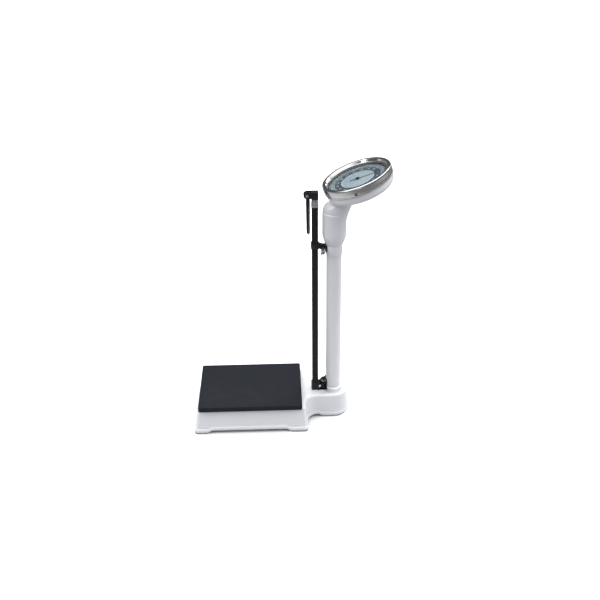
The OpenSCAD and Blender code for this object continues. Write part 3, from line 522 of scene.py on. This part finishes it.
CHROME = chrome()
GLASS = clear_glass()
PRINT = dial_print(GLASS_R * MM)
INK_WHITE = ink("ink_white", (0.80, 0.82, 0.84))
POINTER_PAINT = ink("pointer_paint", (0.035, 0.038, 0.048))
DARK_STEEL = brushed("dark_steel", (0.20, 0.19, 0.20), (0.11, 0.10, 0.11), (1.0, 1.0, 1.0), (0.3, 0.5))

# ---------- base ----------

# How far each wall leans in between the floor and the deck.
WALL_LEAN, BACK_LEAN, PEDESTAL_LEAN = 13, 6.5, 2.5
BACK_Y = 65
CORNER_R, COVE_R = 14, 60
ARCH_RISE, ARCH_RAMP = 8, 16
SHELL_WALL = 4.4
OPENING_X, OPENING_FRONT, OPENING_BACK = 118, 24, 6
CUT_LOW, CUT_HIGH = 60, 120
SHELF_YS, SHELF_IN, SHELF_OUT, SHELF_LOW, SHELF_HIGH = (-300, 20), 88, 135, 18, 28


def smooth_step(value, low, high):
    t = np.clip((value - low) / (high - low), 0, 1)
    return t * t * (3 - 2 * t)


def rising(value, start):
    return smooth_step(value, start, start + ARCH_RAMP)


def falling(value, end):
    return 1 - smooth_step(value, end - ARCH_RAMP, end)


def base_plan(z):
    """Outline of the base at height z, counterclockwise, evenly divided."""
    top = BASE_HIGH.z
    half_x, low_y = BASE_HIGH.x - WALL_LEAN * z / top, BASE_LOW.y + WALL_LEAN * z / top
    back_y, side_x = BACK_Y - BACK_LEAN * z / top, BASE_HIGH.y - COLUMN_Y - PEDESTAL_LEAN * z / top
    half = fillet([(0, low_y), (half_x, low_y), (half_x, back_y), (side_x, back_y), (side_x, COLUMN_Y)],
                  [0, CORNER_R, CORNER_R, COVE_R, 0], 10, False)
    quarter = np.linspace(0, math.pi / 2, 17)[1:]
    half += [(side_x * math.cos(a), COLUMN_Y + side_x * math.sin(a)) for a in quarter]
    return half + [(-x, y) for x, y in half[-2:0:-1]]


def divided(outline, counts):
    """The outline with each of its sides cut into its count of equal steps."""
    made = []
    for i, count in enumerate(counts):
        a, b = np.array(outline[i]), np.array(outline[(i + 1) % len(outline)])
        made += [tuple(a + (b - a) * k / count) for k in range(count)]
    return made


def base_rows():
    """Rings of the base's outer surface from its lower edge to its top."""
    foot, top = BASE_LOW.z, BASE_HIGH.z
    low, high = base_plan(foot), base_plan(top)
    counts = [max(1, round(math.dist(a, low[(i + 1) % len(low)]) / 5)) for i, a in enumerate(low)]
    low, high = np.array(divided(low, counts)), np.array(divided(high, counts))
    normal = np.array(outset([tuple(p) for p in low], 1.0)) - low
    x, y = np.abs(low[:, 0]), low[:, 1]
    arch = np.maximum.reduce([
        (x > 110) * rising(y, -292) * falling(y, 3),
        (y < -300) * falling(x, 92),
        (y > 50) * falling(x, 102) * falling(y, 119),
        (y > 180) * falling(x, 30),
    ])
    edge = foot + ARCH_RISE * arch
    ledge = np.where(y > 75, 0.6, 1.0)[:, None]
    rows = [(edge + dz, off) for dz, off in (
        (0, -1.8), (0.3, -0.9), (0.9, -0.3), (1.8, 0), (8.6, 0), (10.0, -0.3), (11.2, -1.0), (12.0, -2.0),
        (12.6, -2.9), (13.6, -3.3), (16.0, -3.4))]
    rows += [(edge * 0 + z, off) for z, off in (
        (34, -3.4), (50, -3.4), (66, -3.3), (top - 9, -3.2), (top - 6.4, -3.4), (top - 4.2, -4.1),
        (top - 2.4, -5.4), (top - 1.1, -7.1), (top - 0.3, -9.1), (top, -11.4))]
    rings = []
    for z, off in rows:
        z = np.broadcast_to(z, x.shape)
        share = ((z - foot) / (top - foot))[:, None]
        plan = low + (high - low) * share + normal * off * ledge
        rings.append([(p[0], p[1], h) for p, h in zip(plan, z)])
    return rings


def cutter(points_faces, place=None):
    """A short-lived object for a boolean cut."""
    mesh = mesh_of("cutter", *points_faces)
    holder = bpy.data.objects.new("cutter", mesh)
    bpy.context.scene.collection.objects.link(holder)
    if place:
        holder.matrix_world = place
    return holder


def cut(mesh, *cutters):
    """The mesh less the cutters, which are used up."""
    for tool in cutters:
        bpy.context.view_layer.update()
        mesh = modified(mesh, ("BOOLEAN", {"object": tool, "operation": "DIFFERENCE", "solver": "EXACT"}))
    for tool in cutters:
        bpy.data.objects.remove(tool)
    return mesh


def box_outline(x0, x1, y0, y1, radius, steps=6):
    return fillet([(x0, y0), (x1, y0), (x1, y1), (x0, y1)], [radius] * 4, steps)


def rod_outline(radius, segments=48):
    return [(radius * math.cos(2 * math.pi * i / segments), radius * math.sin(2 * math.pi * i / segments))
            for i in range(segments)]


def build_base():
    """Hollow shell with the platform's opening and the column's bore, and a shelf under each V block."""
    shell = mesh_of("base_shell", *loft(base_rows(), False, True))
    wall = {"thickness": SHELL_WALL * MM, "offset": -1, "use_even_offset": True}
    shell = modified(shell, ("SOLIDIFY", wall))
    front_y, back_y = BASE_LOW.y + OPENING_FRONT, edges("platform_mat")[1].y - OPENING_BACK
    opening = cutter(slab(box_outline(-OPENING_X, OPENING_X, front_y, back_y, 10), CUT_LOW, CUT_HIGH, 0.5))
    bore = cutter(slab(rod_outline(COLUMN_R + 0.1, 96), CUT_LOW, CUT_HIGH, 0.5), COLUMN_FRAME)
    shell = cut(shell, opening, bore)
    finish_piece("base_shell", shell, "base", WHITE, ("base_casting",), angle=38)
    shelves = []
    for y in SHELF_YS:
        for side in (-1, 1):
            x0, x1 = sorted((side * SHELF_IN, side * SHELF_OUT))
            shelves.append(slab(box_outline(x0, x1, y - 14, y + 14, 3), SHELF_LOW, SHELF_HIGH, 1.2))
            web = [(SHELF_IN, SHELF_LOW), (134, SHELF_LOW), (134, 8), (124, 8)]
            counterclockwise = [(side * a, b) for a, b in web][::-side]
            points, faces = slab(counterclockwise, -3, 3, 0.8)
            shelves.append(([(p[0], y + p[2], p[1]) for p in points], faces))
    shelves = mesh_of("fulcrum_shelves", *joined(*shelves))
    finish_piece("fulcrum_shelves", shelves, "base", WHITE)


def build_mat():
    """The mat over its plate's edge, with a rounded rim and a groove inside it."""
    low, high = edges("platform_mat")
    top, bottom = high.z, low.z

    def ring(inset, z):
        radius = max(6.5 - inset, 1.0)
        plan = box_outline(low.x + inset, high.x - inset, low.y + inset, high.y - inset, radius, 8)
        return [(x, y, z) for x, y in plan]

    rows = [(3.9, top - 2.9), (3.9, bottom), (1.0, bottom), (0.3, bottom + 0.3), (0, bottom + 1),
            (0, top - 3.0), (0.15, top - 1.9), (0.7, top - 0.9), (1.5, top - 0.3), (2.6, top),
            (5.6, top), (6.0, top - 0.15),
            (6.4, top - 0.7), (7.8, top - 0.7), (8.2, top - 0.15), (8.6, top)]
    mesh = mesh_of("mat_cover", *loft([ring(i, z) for i, z in rows]))
    finish_piece("mat_cover", mesh, "platform", MAT, ("platform_mat",), angle=45)


# ---------- column ----------

BOLT_CIRCLE_R, BOLT_HOLE_R = 31, 4.6


def build_column():
    """The collar round the column's foot, with its bolt holes, and the ring under the head."""
    low, high = edges("column_collar")
    r, z0, z1 = COLUMN_R + 0.05, low.z, high.z
    profile = fillet([(r, z0), (37, z0), (37, z0 + 2.9), (33.6, z0 + 3.6), (34.8, z0 + 9.5), (33.8, z1 - 2.6),
                      (30.2, z1 - 0.6), (r, z1)], [0, 0.4, 1.2, 1.2, 5.5, 4, 3, 0.6])
    collar = mesh_of("foot_collar", *lathe(profile))
    holes = []
    for k in range(4):
        a = math.pi / 4 + k * math.pi / 2
        hole = [(BOLT_CIRCLE_R * math.cos(a) + x, BOLT_CIRCLE_R * math.sin(a) + y)
                for x, y in rod_outline(BOLT_HOLE_R, 32)]
        holes.append(cutter(slab(hole, z0 + 10, z1 + 5, 0.2), COLUMN_FRAME))
    collar = cut(collar, *holes)
    finish_piece("foot_collar", collar, "base", WHITE, ("column_collar",), COLUMN_FRAME)
    low, high = edges("neck_ring")
    z0, z1, wide = low.z, high.z, high.x
    profile = fillet([(r, z0), (r + 0.6, z0), (r + 0.6, z0 + 1.6), (wide, z0 + 2.2), (wide, z1 - 3.0),
                      (wide - 1.5, z1 - 1.6), (r + 0.6, z1 - 1.4), (r + 0.6, z1), (r, z1)],
                     [0, 0, 0.3, 0.6, 1, 0.6, 0.2, 0, 0], 4)
    ring = mesh_of("rod_ring", *lathe(profile))
    finish_piece("rod_ring", ring, "base", WHITE, ("neck_ring",), COLUMN_FRAME)


# ---------- head ----------


def blend_min(a, b, k):
    """The lesser of two fields, with a soft fillet about k wide where they meet."""
    h = np.clip(0.5 + 0.5 * (b - a) / k, 0, 1)
    return b + (a - b) * h - k * h * (1 - h)


def round_disc(rho, along, radius, middle, half, edge):
    """Field of a disc: rho from its axis, along it, its half thickness, and the radius of its edges."""
    q0, q1 = rho - (radius - edge), np.abs(along - middle) - (half - edge)
    return np.minimum(np.maximum(q0, q1), 0) + np.hypot(np.maximum(q0, 0), np.maximum(q1, 0)) - edge


SLEEVE_R = 40.0
SLEEVE_WALL_R = 33
SEAM_Z = 783.0
# Where the neck meets the cup: this far off the dial's centre, and this far under its rim.
NECK_REACH, NECK_DROP = 44, 36


def head_field(p):
    """Distance-like field of the head above the sleeve, in millimetres: dome, neck and hollow cup."""
    x, y, z = p[..., 0], p[..., 1], p[..., 2]
    dome = round_disc(np.hypot(x, y - COLUMN_Y), z, radius=37.8, middle=776, half=38, edge=25)
    v, w = (y - DIAL_AT.y / MM), (z - DIAL_AT.z / MM)
    along = v * math.cos(TILT) + w * math.sin(TILT)
    depth = v * math.sin(TILT) - w * math.cos(TILT)
    rho = np.hypot(x, along)
    cup = round_disc(rho, depth, radius=112, middle=37, half=23.5, edge=19)
    start = np.array([0, COLUMN_Y + 3, 752.0])
    end = np.array([0, DIAL_AT.y / MM - NECK_REACH * math.cos(TILT) + NECK_DROP * math.sin(TILT),
                    DIAL_AT.z / MM - NECK_REACH * math.sin(TILT) - NECK_DROP * math.cos(TILT)])
    line = end - start
    t = np.clip(((p - start) @ line) / (line @ line), 0, 1)
    flare = np.linalg.norm(p - start - t[..., None] * line, axis=-1) - (33.5 + 6.0 * t ** 2)
    body = blend_min(blend_min(dome, flare, 10), cup, 14)
    hollow = np.maximum(rho - 107.0, depth - 34.0)
    return np.maximum(body, -hollow)


def surface_net(field, low, high, step):
    """Quads on a field's zero surface, with their points then moved onto it."""
    axes = [np.arange(a, b + step, step) for a, b in zip(low, high)]
    grid = np.stack(np.meshgrid(*axes, indexing="ij"), -1)
    value = field(grid)
    inside = value < 0
    total = np.zeros([n - 1 for n in value.shape] + [3])
    count = np.zeros(total.shape[:3])
    corners = [(i, j, k) for i in (0, 1) for j in (0, 1) for k in (0, 1)]
    shape = total.shape[:3]

    def part(values, corner):
        return values[tuple(slice(c, c + n) for c, n in zip(corner, shape))]

    for a in corners:
        for axis in range(3):
            if a[axis]:
                continue
            b = tuple(c + (n == axis) for n, c in enumerate(a))
            va, vb = part(value, a), part(value, b)
            crossing = (va < 0) != (vb < 0)
            t = np.where(crossing, va / np.where(crossing, va - vb, 1), 0)[..., None]
            total += np.where(crossing[..., None], part(grid, a) * (1 - t) + part(grid, b) * t, 0)
            count += crossing
    used = count > 0
    number = np.full(shape, -1)
    number[used] = np.arange(used.sum())
    points = total[used] / count[used][:, None]
    faces = []
    for axis in range(3):
        o1, o2 = [n for n in range(3) if n != axis]
        a, b = [slice(None)] * 3, [slice(None)] * 3
        a[axis], b[axis] = slice(None, -1), slice(1, None)
        changed = np.argwhere(inside[tuple(a)] != inside[tuple(b)])
        changed = changed[(changed[:, o1] > 0) & (changed[:, o2] > 0)]
        changed = changed[(changed[:, o1] < shape[o1]) & (changed[:, o2] < shape[o2])]
        quads = []
        for d1, d2 in ((0, 0), (-1, 0), (-1, -1), (0, -1)):
            cell = changed.copy()
            cell[:, o1] += d1
            cell[:, o2] += d2
            quads.append(number[cell[:, 0], cell[:, 1], cell[:, 2]])
        faces += [tuple(int(i) for i in q) for q in np.stack(quads, 1) if (q >= 0).all()]
    for _ in range(4):
        here, slope = field(points), np.zeros_like(points)
        for axis in range(3):
            shift = np.zeros(3)
            shift[axis] = 0.05
            slope[:, axis] = (field(points + shift) - field(points - shift)) / 0.1
        points = points - slope * (here / np.maximum((slope ** 2).sum(1), 0.05))[:, None]
    return [tuple(p) for p in points], faces


def build_head():
    """The turned sleeve round the column, and the dome, neck and cup above it."""
    low, high = edges("head_casting")
    z0, r = low.z, COLUMN_R + 0.05
    profile = fillet([(r, z0), (28.6, z0), (31.0, z0 + 4.5), (38.2, z0 + 24), (SLEEVE_R, z0 + 34),
                      (SLEEVE_R, SEAM_Z - 3.2), (37.4, SEAM_Z), (SLEEVE_WALL_R, SEAM_Z), (SLEEVE_WALL_R, 700),
                      (r, 690)],
                     [0.2, 1.0, 10, 16, 12, 1.3, 0, 0, 0, 0], 6)
    sleeve = mesh_of("head_sleeve", *lathe(profile))
    finish_piece("head_sleeve", sleeve, "base", WHITE, (), COLUMN_FRAME)
    step = 1.8
    net = surface_net(head_field, (-118, COLUMN_Y - 50, 744), (118, high.y + 6, high.z + 6), step)
    cup = mesh_of("head_cup", *net)
    finish_piece("head_cup", cup, "base", WHITE, ("head_casting",), angle=60)


# ---------- dial ----------

PRINT_Z = -18.5
FULL_LOAD = 160
MARK_OUTER_R = 91.5
NUMBER_R = 67.5
END_GAP_DEG = 1.8


def build_dial():
    """Bezel, dial, glass and seal, turned in the dial's own frame, whose Z is the pointer's axis."""
    low, high = edges("dial_bezel")
    r = (high.x - low.x) / 2
    profile = fillet([
        (r - 3, -28), (r - 0.2, -28), (r - 0.2, -24.9), (r - 0.9, -24.5), (r - 0.9, -23.8), (r - 0.2, -23.4),
        (r, -16), (r - 0.2, -6.0), (r - 1.0, -2.0), (r - 4.0, -0.05), (r - 12.5, -0.5), (99.0, -7.9),
        (95, -8.5), (95, -10), (100, -10), (r - 10, -4.5), (r - 3.6, -6)],
        [0.2, 0.5, 0.3, 0.3, 0.3, 0.3, 4, 2, 2.0, 2.5, 2.0, 1.0, 0.4, 0, 0, 0, 0], 6)
    finish_piece("bezel_ring", mesh_of("bezel_ring", *lathe(profile, 192)), "base", CHROME,
                 ("dial_bezel",), DIAL_FRAME, angle=40)
    profile = [(0, -20), (97, -20), (97, PRINT_Z - 0.2), (96.6, PRINT_Z), (0, PRINT_Z)]
    finish_piece("dial_disc", mesh_of("dial_disc", *lathe(profile, 128, False)), "base", PRINT,
                 ("dial_face",), DIAL_FRAME)
    glass = [(0, -13), (98.4, -13), (99, -12.4), (99, -10.6), (98.4, -10), (0, -10)]
    finish_piece("dial_pane", mesh_of("dial_pane", *lathe(glass, 128, False)), "base", GLASS,
                 ("dial_glass",), DIAL_FRAME)
    seat = fillet([(95.4, -18.4), (99.8, -18.4), (99.8, -13.1), (95.4, -13.1)], [0.6] * 4, 3)
    finish_piece("glass_seat", mesh_of("glass_seat", *lathe(seat, 96)), "base", SEAL,
                 ("glass_gasket",), DIAL_FRAME)
    build_graduations()


def build_graduations():
    """A mark for each kilogram, and a number for each tenth one, clockwise from the far side."""
    turn = abs(POINTER["range_deg"][0]) - END_GAP_DEG
    marks = []
    for kilogram in range(FULL_LOAD + 1):
        wide, long = (1.15, 11.0) if kilogram % 10 == 0 else (0.8, 8.0) if kilogram % 5 == 0 else (0.42, 5.2)
        around = Matrix.Rotation(-math.radians(turn * kilogram / FULL_LOAD), 4, "Z")
        outline = box_outline(-wide / 2, wide / 2, MARK_OUTER_R - long, MARK_OUTER_R, wide * 0.2, 1)
        points, faces = slab(outline, PRINT_Z - 0.01, PRINT_Z + 0.12, 0.03, 1)
        marks.append((turned(points, around), faces))
    for radius, wide in ((93.0, 0.5), (78.2, 0.4), (54.4, 0.5)):
        low, high = PRINT_Z - 0.01, PRINT_Z + 0.1
        marks.append(lathe([(radius, low), (radius + wide, low), (radius + wide, high), (radius, high)], 128))
    marks = mesh_of("dial_marks", *joined(*marks))
    finish_piece("dial_marks", marks, "base", INK_WHITE, (), DIAL_FRAME)
    numbers = bmesh.new()
    for kilogram in range(0, FULL_LOAD, 10):
        text = bpy.data.curves.new("number", "FONT")
        text.body, text.size, text.extrude = str(kilogram), 0.0098, 0.00006
        text.align_x = text.align_y = "CENTER"
        text.resolution_u = 4
        holder = bpy.data.objects.new("number", text)
        bpy.context.scene.collection.objects.link(holder)
        bpy.context.view_layer.update()
        flat = bpy.data.meshes.new_from_object(holder.evaluated_get(bpy.context.evaluated_depsgraph_get()))
        angle = -math.radians(turn * kilogram / FULL_LOAD)
        raised = Matrix.Translation((0, NUMBER_R * MM, (PRINT_Z + 0.08) * MM))
        flat.transform(Matrix.Rotation(angle, 4, "Z") @ raised)
        numbers.from_mesh(flat)
        bpy.data.objects.remove(holder)
    mesh = bpy.data.meshes.new("dial_numbers")
    numbers.to_mesh(mesh)
    numbers.free()
    finish_piece("dial_numbers", mesh, "base", INK_WHITE, (), DIAL_FRAME)


# ---------- height rod ----------

OUTER_LOW, OUTER_HIGH = edges("rod_outer_tube")
ROD_Y = (OUTER_LOW.y + OUTER_HIGH.y) / 2
ROD_FRAME = Matrix.Translation((0, ROD_Y * MM, 0))


def square_ring(side, z, radius=3.0):
    """A square with rounded corners at height z."""
    return [(x, y, z) for x, y in box_outline(-side / 2, side / 2, -side / 2, side / 2, radius, 5)]


def square_sleeve(name, node, body, rows, inner):
    """A square collar around the inner tube. Rows are (how much narrower, share of the height)."""
    low, high = edges(node)
    z0, height, widest = low.z, high.z - low.z, high.x - low.x
    hole = edges(inner)[1].x * 2 + 0.6
    rings = [square_ring(hole, z0 + height, 0.8), square_ring(hole, z0, 0.8)]
    rings += [square_ring(widest - less, z0 + height * share) for less, share in rows]
    mesh = mesh_of(name, *loft(rings, closed_loop=True))
    finish_piece(name, mesh, body, STEEL, (node,), ROD_FRAME, angle=50)


def build_rod():
    """The rod's two collars, and the CAD pieces that only need rounded edges."""
    square_sleeve("outer_collar", "rod_collar", "base", (
        (1.4, 0), (0.4, 0.02), (0, 0.06), (0, 0.20), (0.8, 0.24), (1.1, 0.29), (0.8, 0.34), (1.0, 0.62),
        (1.4, 0.84), (2.0, 0.93), (2.8, 0.98), (3.8, 1.0)), "rod_middle_tube")
    square_sleeve("stage_collar", "middle_collar", "middle_tube", (
        (1.4, 0), (0.4, 0.02), (0, 0.07), (0, 0.22), (0.8, 0.27), (1.0, 0.34), (1.4, 0.70), (2.0, 0.90),
        (2.8, 0.98), (3.6, 1.0)), "rod_inner_tube")
    for name, node, slot, material, edge in (
            ("arm_head", "arm_bracket", "black_plastic", PLASTIC, 1.0),
            ("arm_grip", "arm_bar", "black_plastic", PLASTIC, 0.9),
            ("arm_rule", "arm_blade", "bright_steel", STEEL, 0.25),
            ("rod_clamp_upper", "upper_bracket", "black_paint", BLACK, 0.6),
            ("rod_clamp_lower", "lower_bracket", "black_paint", BLACK, 0.6),
            ("zero_wheel", "zero_knob", "black_plastic", PLASTIC, 0.4),
            ("long_lever_body", "long_lever", "lever_iron", IRON, 0.8),
            ("short_lever_body", "short_lever", "lever_iron", IRON, 0.8),
            ("feet", "foot_pads", "foot_rubber", PAD, 0.6)):
        softened(name, node, material, edge)


HUB_R = 5.5
THREAD_R, THREAD_ROOT_R, THREAD_PITCH, THREAD_TURNS = 3.0, 2.62, 0.8, 22


def wing_outline(arms, length, half_width):
    """Round-ended arms about a hub, the first of them at 45 degrees."""
    points, radii = [], []
    for k in range(arms):
        turn = math.pi / 4 + 2 * math.pi * k / arms
        u = np.array([math.cos(turn), math.sin(turn)])
        v = np.array([-u[1], u[0]])
        points += [tuple(u * HUB_R - v * half_width * 0.9), tuple(u * length - v * half_width),
                   tuple(u * length + v * half_width), tuple(u * HUB_R + v * half_width * 0.9)]
        radii += [2.0, half_width * 0.96, half_width * 0.96, 2.0]
    return fillet(points, radii, 5)


def build_wing(name, arms, length, half_width, hub_x, reach, material):
    """A wing screw along X: a handle from hub_x outwards, a threaded shank inwards and a cap."""
    body = name + "_screw"
    face = hub_x + reach
    upright = Matrix.Rotation(math.pi / 2, 4, "Z") @ Matrix.Rotation(math.pi / 2, 4, "X")
    at = Matrix.Translation(JOINTS[name + "_turn"]["pos_m"]) @ upright
    wings = slab(wing_outline(arms, length, half_width), hub_x + 1, face - 1, min(1.8, reach / 3.4))
    hub = lathe(fillet([(0, hub_x - 1), (6.6, hub_x - 1), (7.2, hub_x + reach * 0.5), (6.4, face), (0, face)],
                       [0, 1.2, 2, 1.6, 0], 5, False), 64, False)
    handle = mesh_of(name, *joined(wings, hub))
    finish_piece(name + "_handle", handle, body, material, (body,), at)
    profile = [(0, -12), (2.4, -12), (THREAD_R, -11.4)]
    for k in range(THREAD_TURNS):
        z = -11 + k * THREAD_PITCH
        profile += [(THREAD_R, z), (THREAD_ROOT_R, z + THREAD_PITCH / 2)]
    profile += [(THREAD_R, 6.8), (THREAD_R, 8.3), (5.2, 8.3), (HUB_R, 8.6), (HUB_R, hub_x - 0.4),
                (5.1, hub_x), (0, hub_x)]
    shank = mesh_of(name + "_shank", *lathe(profile, 40, False))
    finish_piece(name + "_shank", shank, body, STEEL, (), at)
    cap = fillet([(0, face - 0.2), (3.0, face - 0.2), (2.7, face), (0, face)], [0, 0, 0.1, 0], 3, False)
    cap = mesh_of(name + "_cap", *lathe(cap, 32, False))
    finish_piece(name + "_cap", cap, body, STEEL, (), at)


# ---------- the rest of the CAD nodes ----------

BY_SLOT = {
    "white_paint": WHITE, "black_paint": BLACK, "black_plastic": PLASTIC, "mat_rubber": MAT,
    "foot_rubber": PAD, "chrome_trim": CHROME, "bright_steel": STEEL, "zinc_steel": ZINC,
    "brass_gear": BRASS, "lever_iron": IRON, "dial_print": PRINT, "pointer_paint": POINTER_PAINT,
    "dial_glass": GLASS,
}

BY_NODE = {"bezel_screws": DARK_STEEL, "column_tube": WHITE_TUBE, "rod_outer_tube": BLACK_TUBE,
           "rod_middle_tube": STEEL, "rod_inner_tube": STEEL}


def dress_nodes():
    """Gives each CAD node that stays visible its material."""
    slots = {s["node"]: s["material_slot"] for s in frame["record"]["subparts"]}
    for name, node in frame["nodes"].items():
        node.data.materials.clear()
        node.data.materials.append(BY_NODE.get(name) or BY_SLOT[slots[name]])


build_base()
build_mat()
build_column()
build_head()
build_dial()
build_rod()
build_wing("upper_wing", arms=2, length=12, half_width=2.9, hub_x=39, reach=6, material=STEEL)
build_wing("lower_wing", arms=4, length=23, half_width=2.9, hub_x=37, reach=9, material=PLASTIC)
dress_nodes()

# ---------- room and light ----------


def build_floor():
    """A pale floor, which throws less light back at the object than it shows the camera."""
    floor = bpy.data.meshes.new("floor")
    work = bmesh.new()
    bmesh.ops.create_circle(work, cap_ends=True, segments=96, radius=30)
    work.to_mesh(floor)
    work.free()
    n = Nodes("floor")
    seen = n.tree.nodes.new("ShaderNodeLightPath").outputs["Is Camera Ray"]
    pale = n.mix(n.noise(1.5, 2.0), (0.93, 0.93, 0.93), (0.91, 0.91, 0.91))
    away = n.new("ShaderNodeVectorMath", Vector=n.place)
    away.operation = "LENGTH"
    bounce = n.mix(n.span(away.outputs["Value"], 0.4, 2.0, 0.0, 1.0), (0.46, 0.46, 0.47), (0.10, 0.10, 0.105))
    n.set(Base_Color=n.mix(seen, bounce, pale),
          Roughness=n.span(n.noise(3.0, 2.0), 0.3, 0.7, 0.75, 0.85))
    floor.materials.append(n.material)
    holder = bpy.data.objects.new("floor", floor)
    holder.location.z = -0.0004
    bpy.context.scene.collection.objects.link(holder)


def build_sky():
    """A studio's light by direction: bright above, dim low down, and dark walls for the trim to mirror."""
    world = bpy.data.worlds.new("studio")
    bpy.context.scene.world = world
    world.use_nodes = True
    tree = world.node_tree
    new = tree.nodes.new

    def calc(operation, a, b=0.0):
        node = new("ShaderNodeMath")
        node.operation = operation
        for socket, value in zip(node.inputs, (a, b)):
            if isinstance(value, bpy.types.NodeSocket):
                tree.links.new(value, socket)
            else:
                socket.default_value = value
        return node.outputs[0]

    def ramp(value, low, high, to_low, to_high):
        node = new("ShaderNodeMapRange")
        node.interpolation_type = "SMOOTHSTEP"
        tree.links.new(value, node.inputs["Value"])
        for key, number in (("From Min", low), ("From Max", high), ("To Min", to_low), ("To Max", to_high)):
            node.inputs[key].default_value = number
        return node.outputs[0]

    def choose(factor, a, b):
        node = new("ShaderNodeMix")
        for socket, value in zip((node.inputs[0], node.inputs[2], node.inputs[3]), (factor, a, b)):
            if isinstance(value, bpy.types.NodeSocket):
                tree.links.new(value, socket)
            else:
                socket.default_value = value
        return node.outputs[0]

    axes = new("ShaderNodeSeparateXYZ")
    tree.links.new(new("ShaderNodeTexCoord").outputs["Generated"], axes.inputs[0])
    height = ramp(axes.outputs["Z"], 0.0, 0.85, 0.25, 2.7)
    front = ramp(axes.outputs["X"], -0.1, 0.9, 1.0, 0.42)
    sides = calc("ADD", ramp(calc("ABSOLUTE", axes.outputs["Y"]), 0.30, 0.95, 0.85, 1.25),
                 ramp(axes.outputs["Y"], 0.20, 0.90, 0.0, 0.65))
    light = calc("MULTIPLY", calc("MULTIPLY", height, front), sides)
    horizon = ramp(axes.outputs["Z"], 0.03, 0.10, 0.60, 0.10)
    mirrored = calc("ADD", horizon, ramp(axes.outputs["Z"], 0.50, 0.84, 0.0, 1.6))
    path = new("ShaderNodeLightPath").outputs
    strength = choose(path["Is Camera Ray"], choose(path["Is Glossy Ray"], light, mirrored), 1.06)
    background = tree.nodes["Background"]
    background.inputs["Color"].default_value = (0.97, 0.985, 1.0, 1)
    tree.links.new(strength, background.inputs["Strength"])


def add_light(name, at, towards, size, power):
    data = bpy.data.lights.new(name, "AREA")
    data.shape, data.size, data.size_y = "RECTANGLE", size[0], size[1]
    data.energy = power
    lamp = bpy.data.objects.new(name, data)
    lamp.location = at
    lamp.rotation_mode = "QUATERNION"
    lamp.rotation_quaternion = (Vector(towards) - Vector(at)).to_track_quat("-Z", "Y")
    bpy.context.scene.collection.objects.link(lamp)


build_floor()
build_sky()
add_light("key", (1.2, -2.2, 2.8), (0, 0, 0.5), (1.4, 1.4), 20)
add_light("rim", (-1.6, 1.8, 2.2), (0, 0.1, 0.6), (1.0, 1.6), 12)
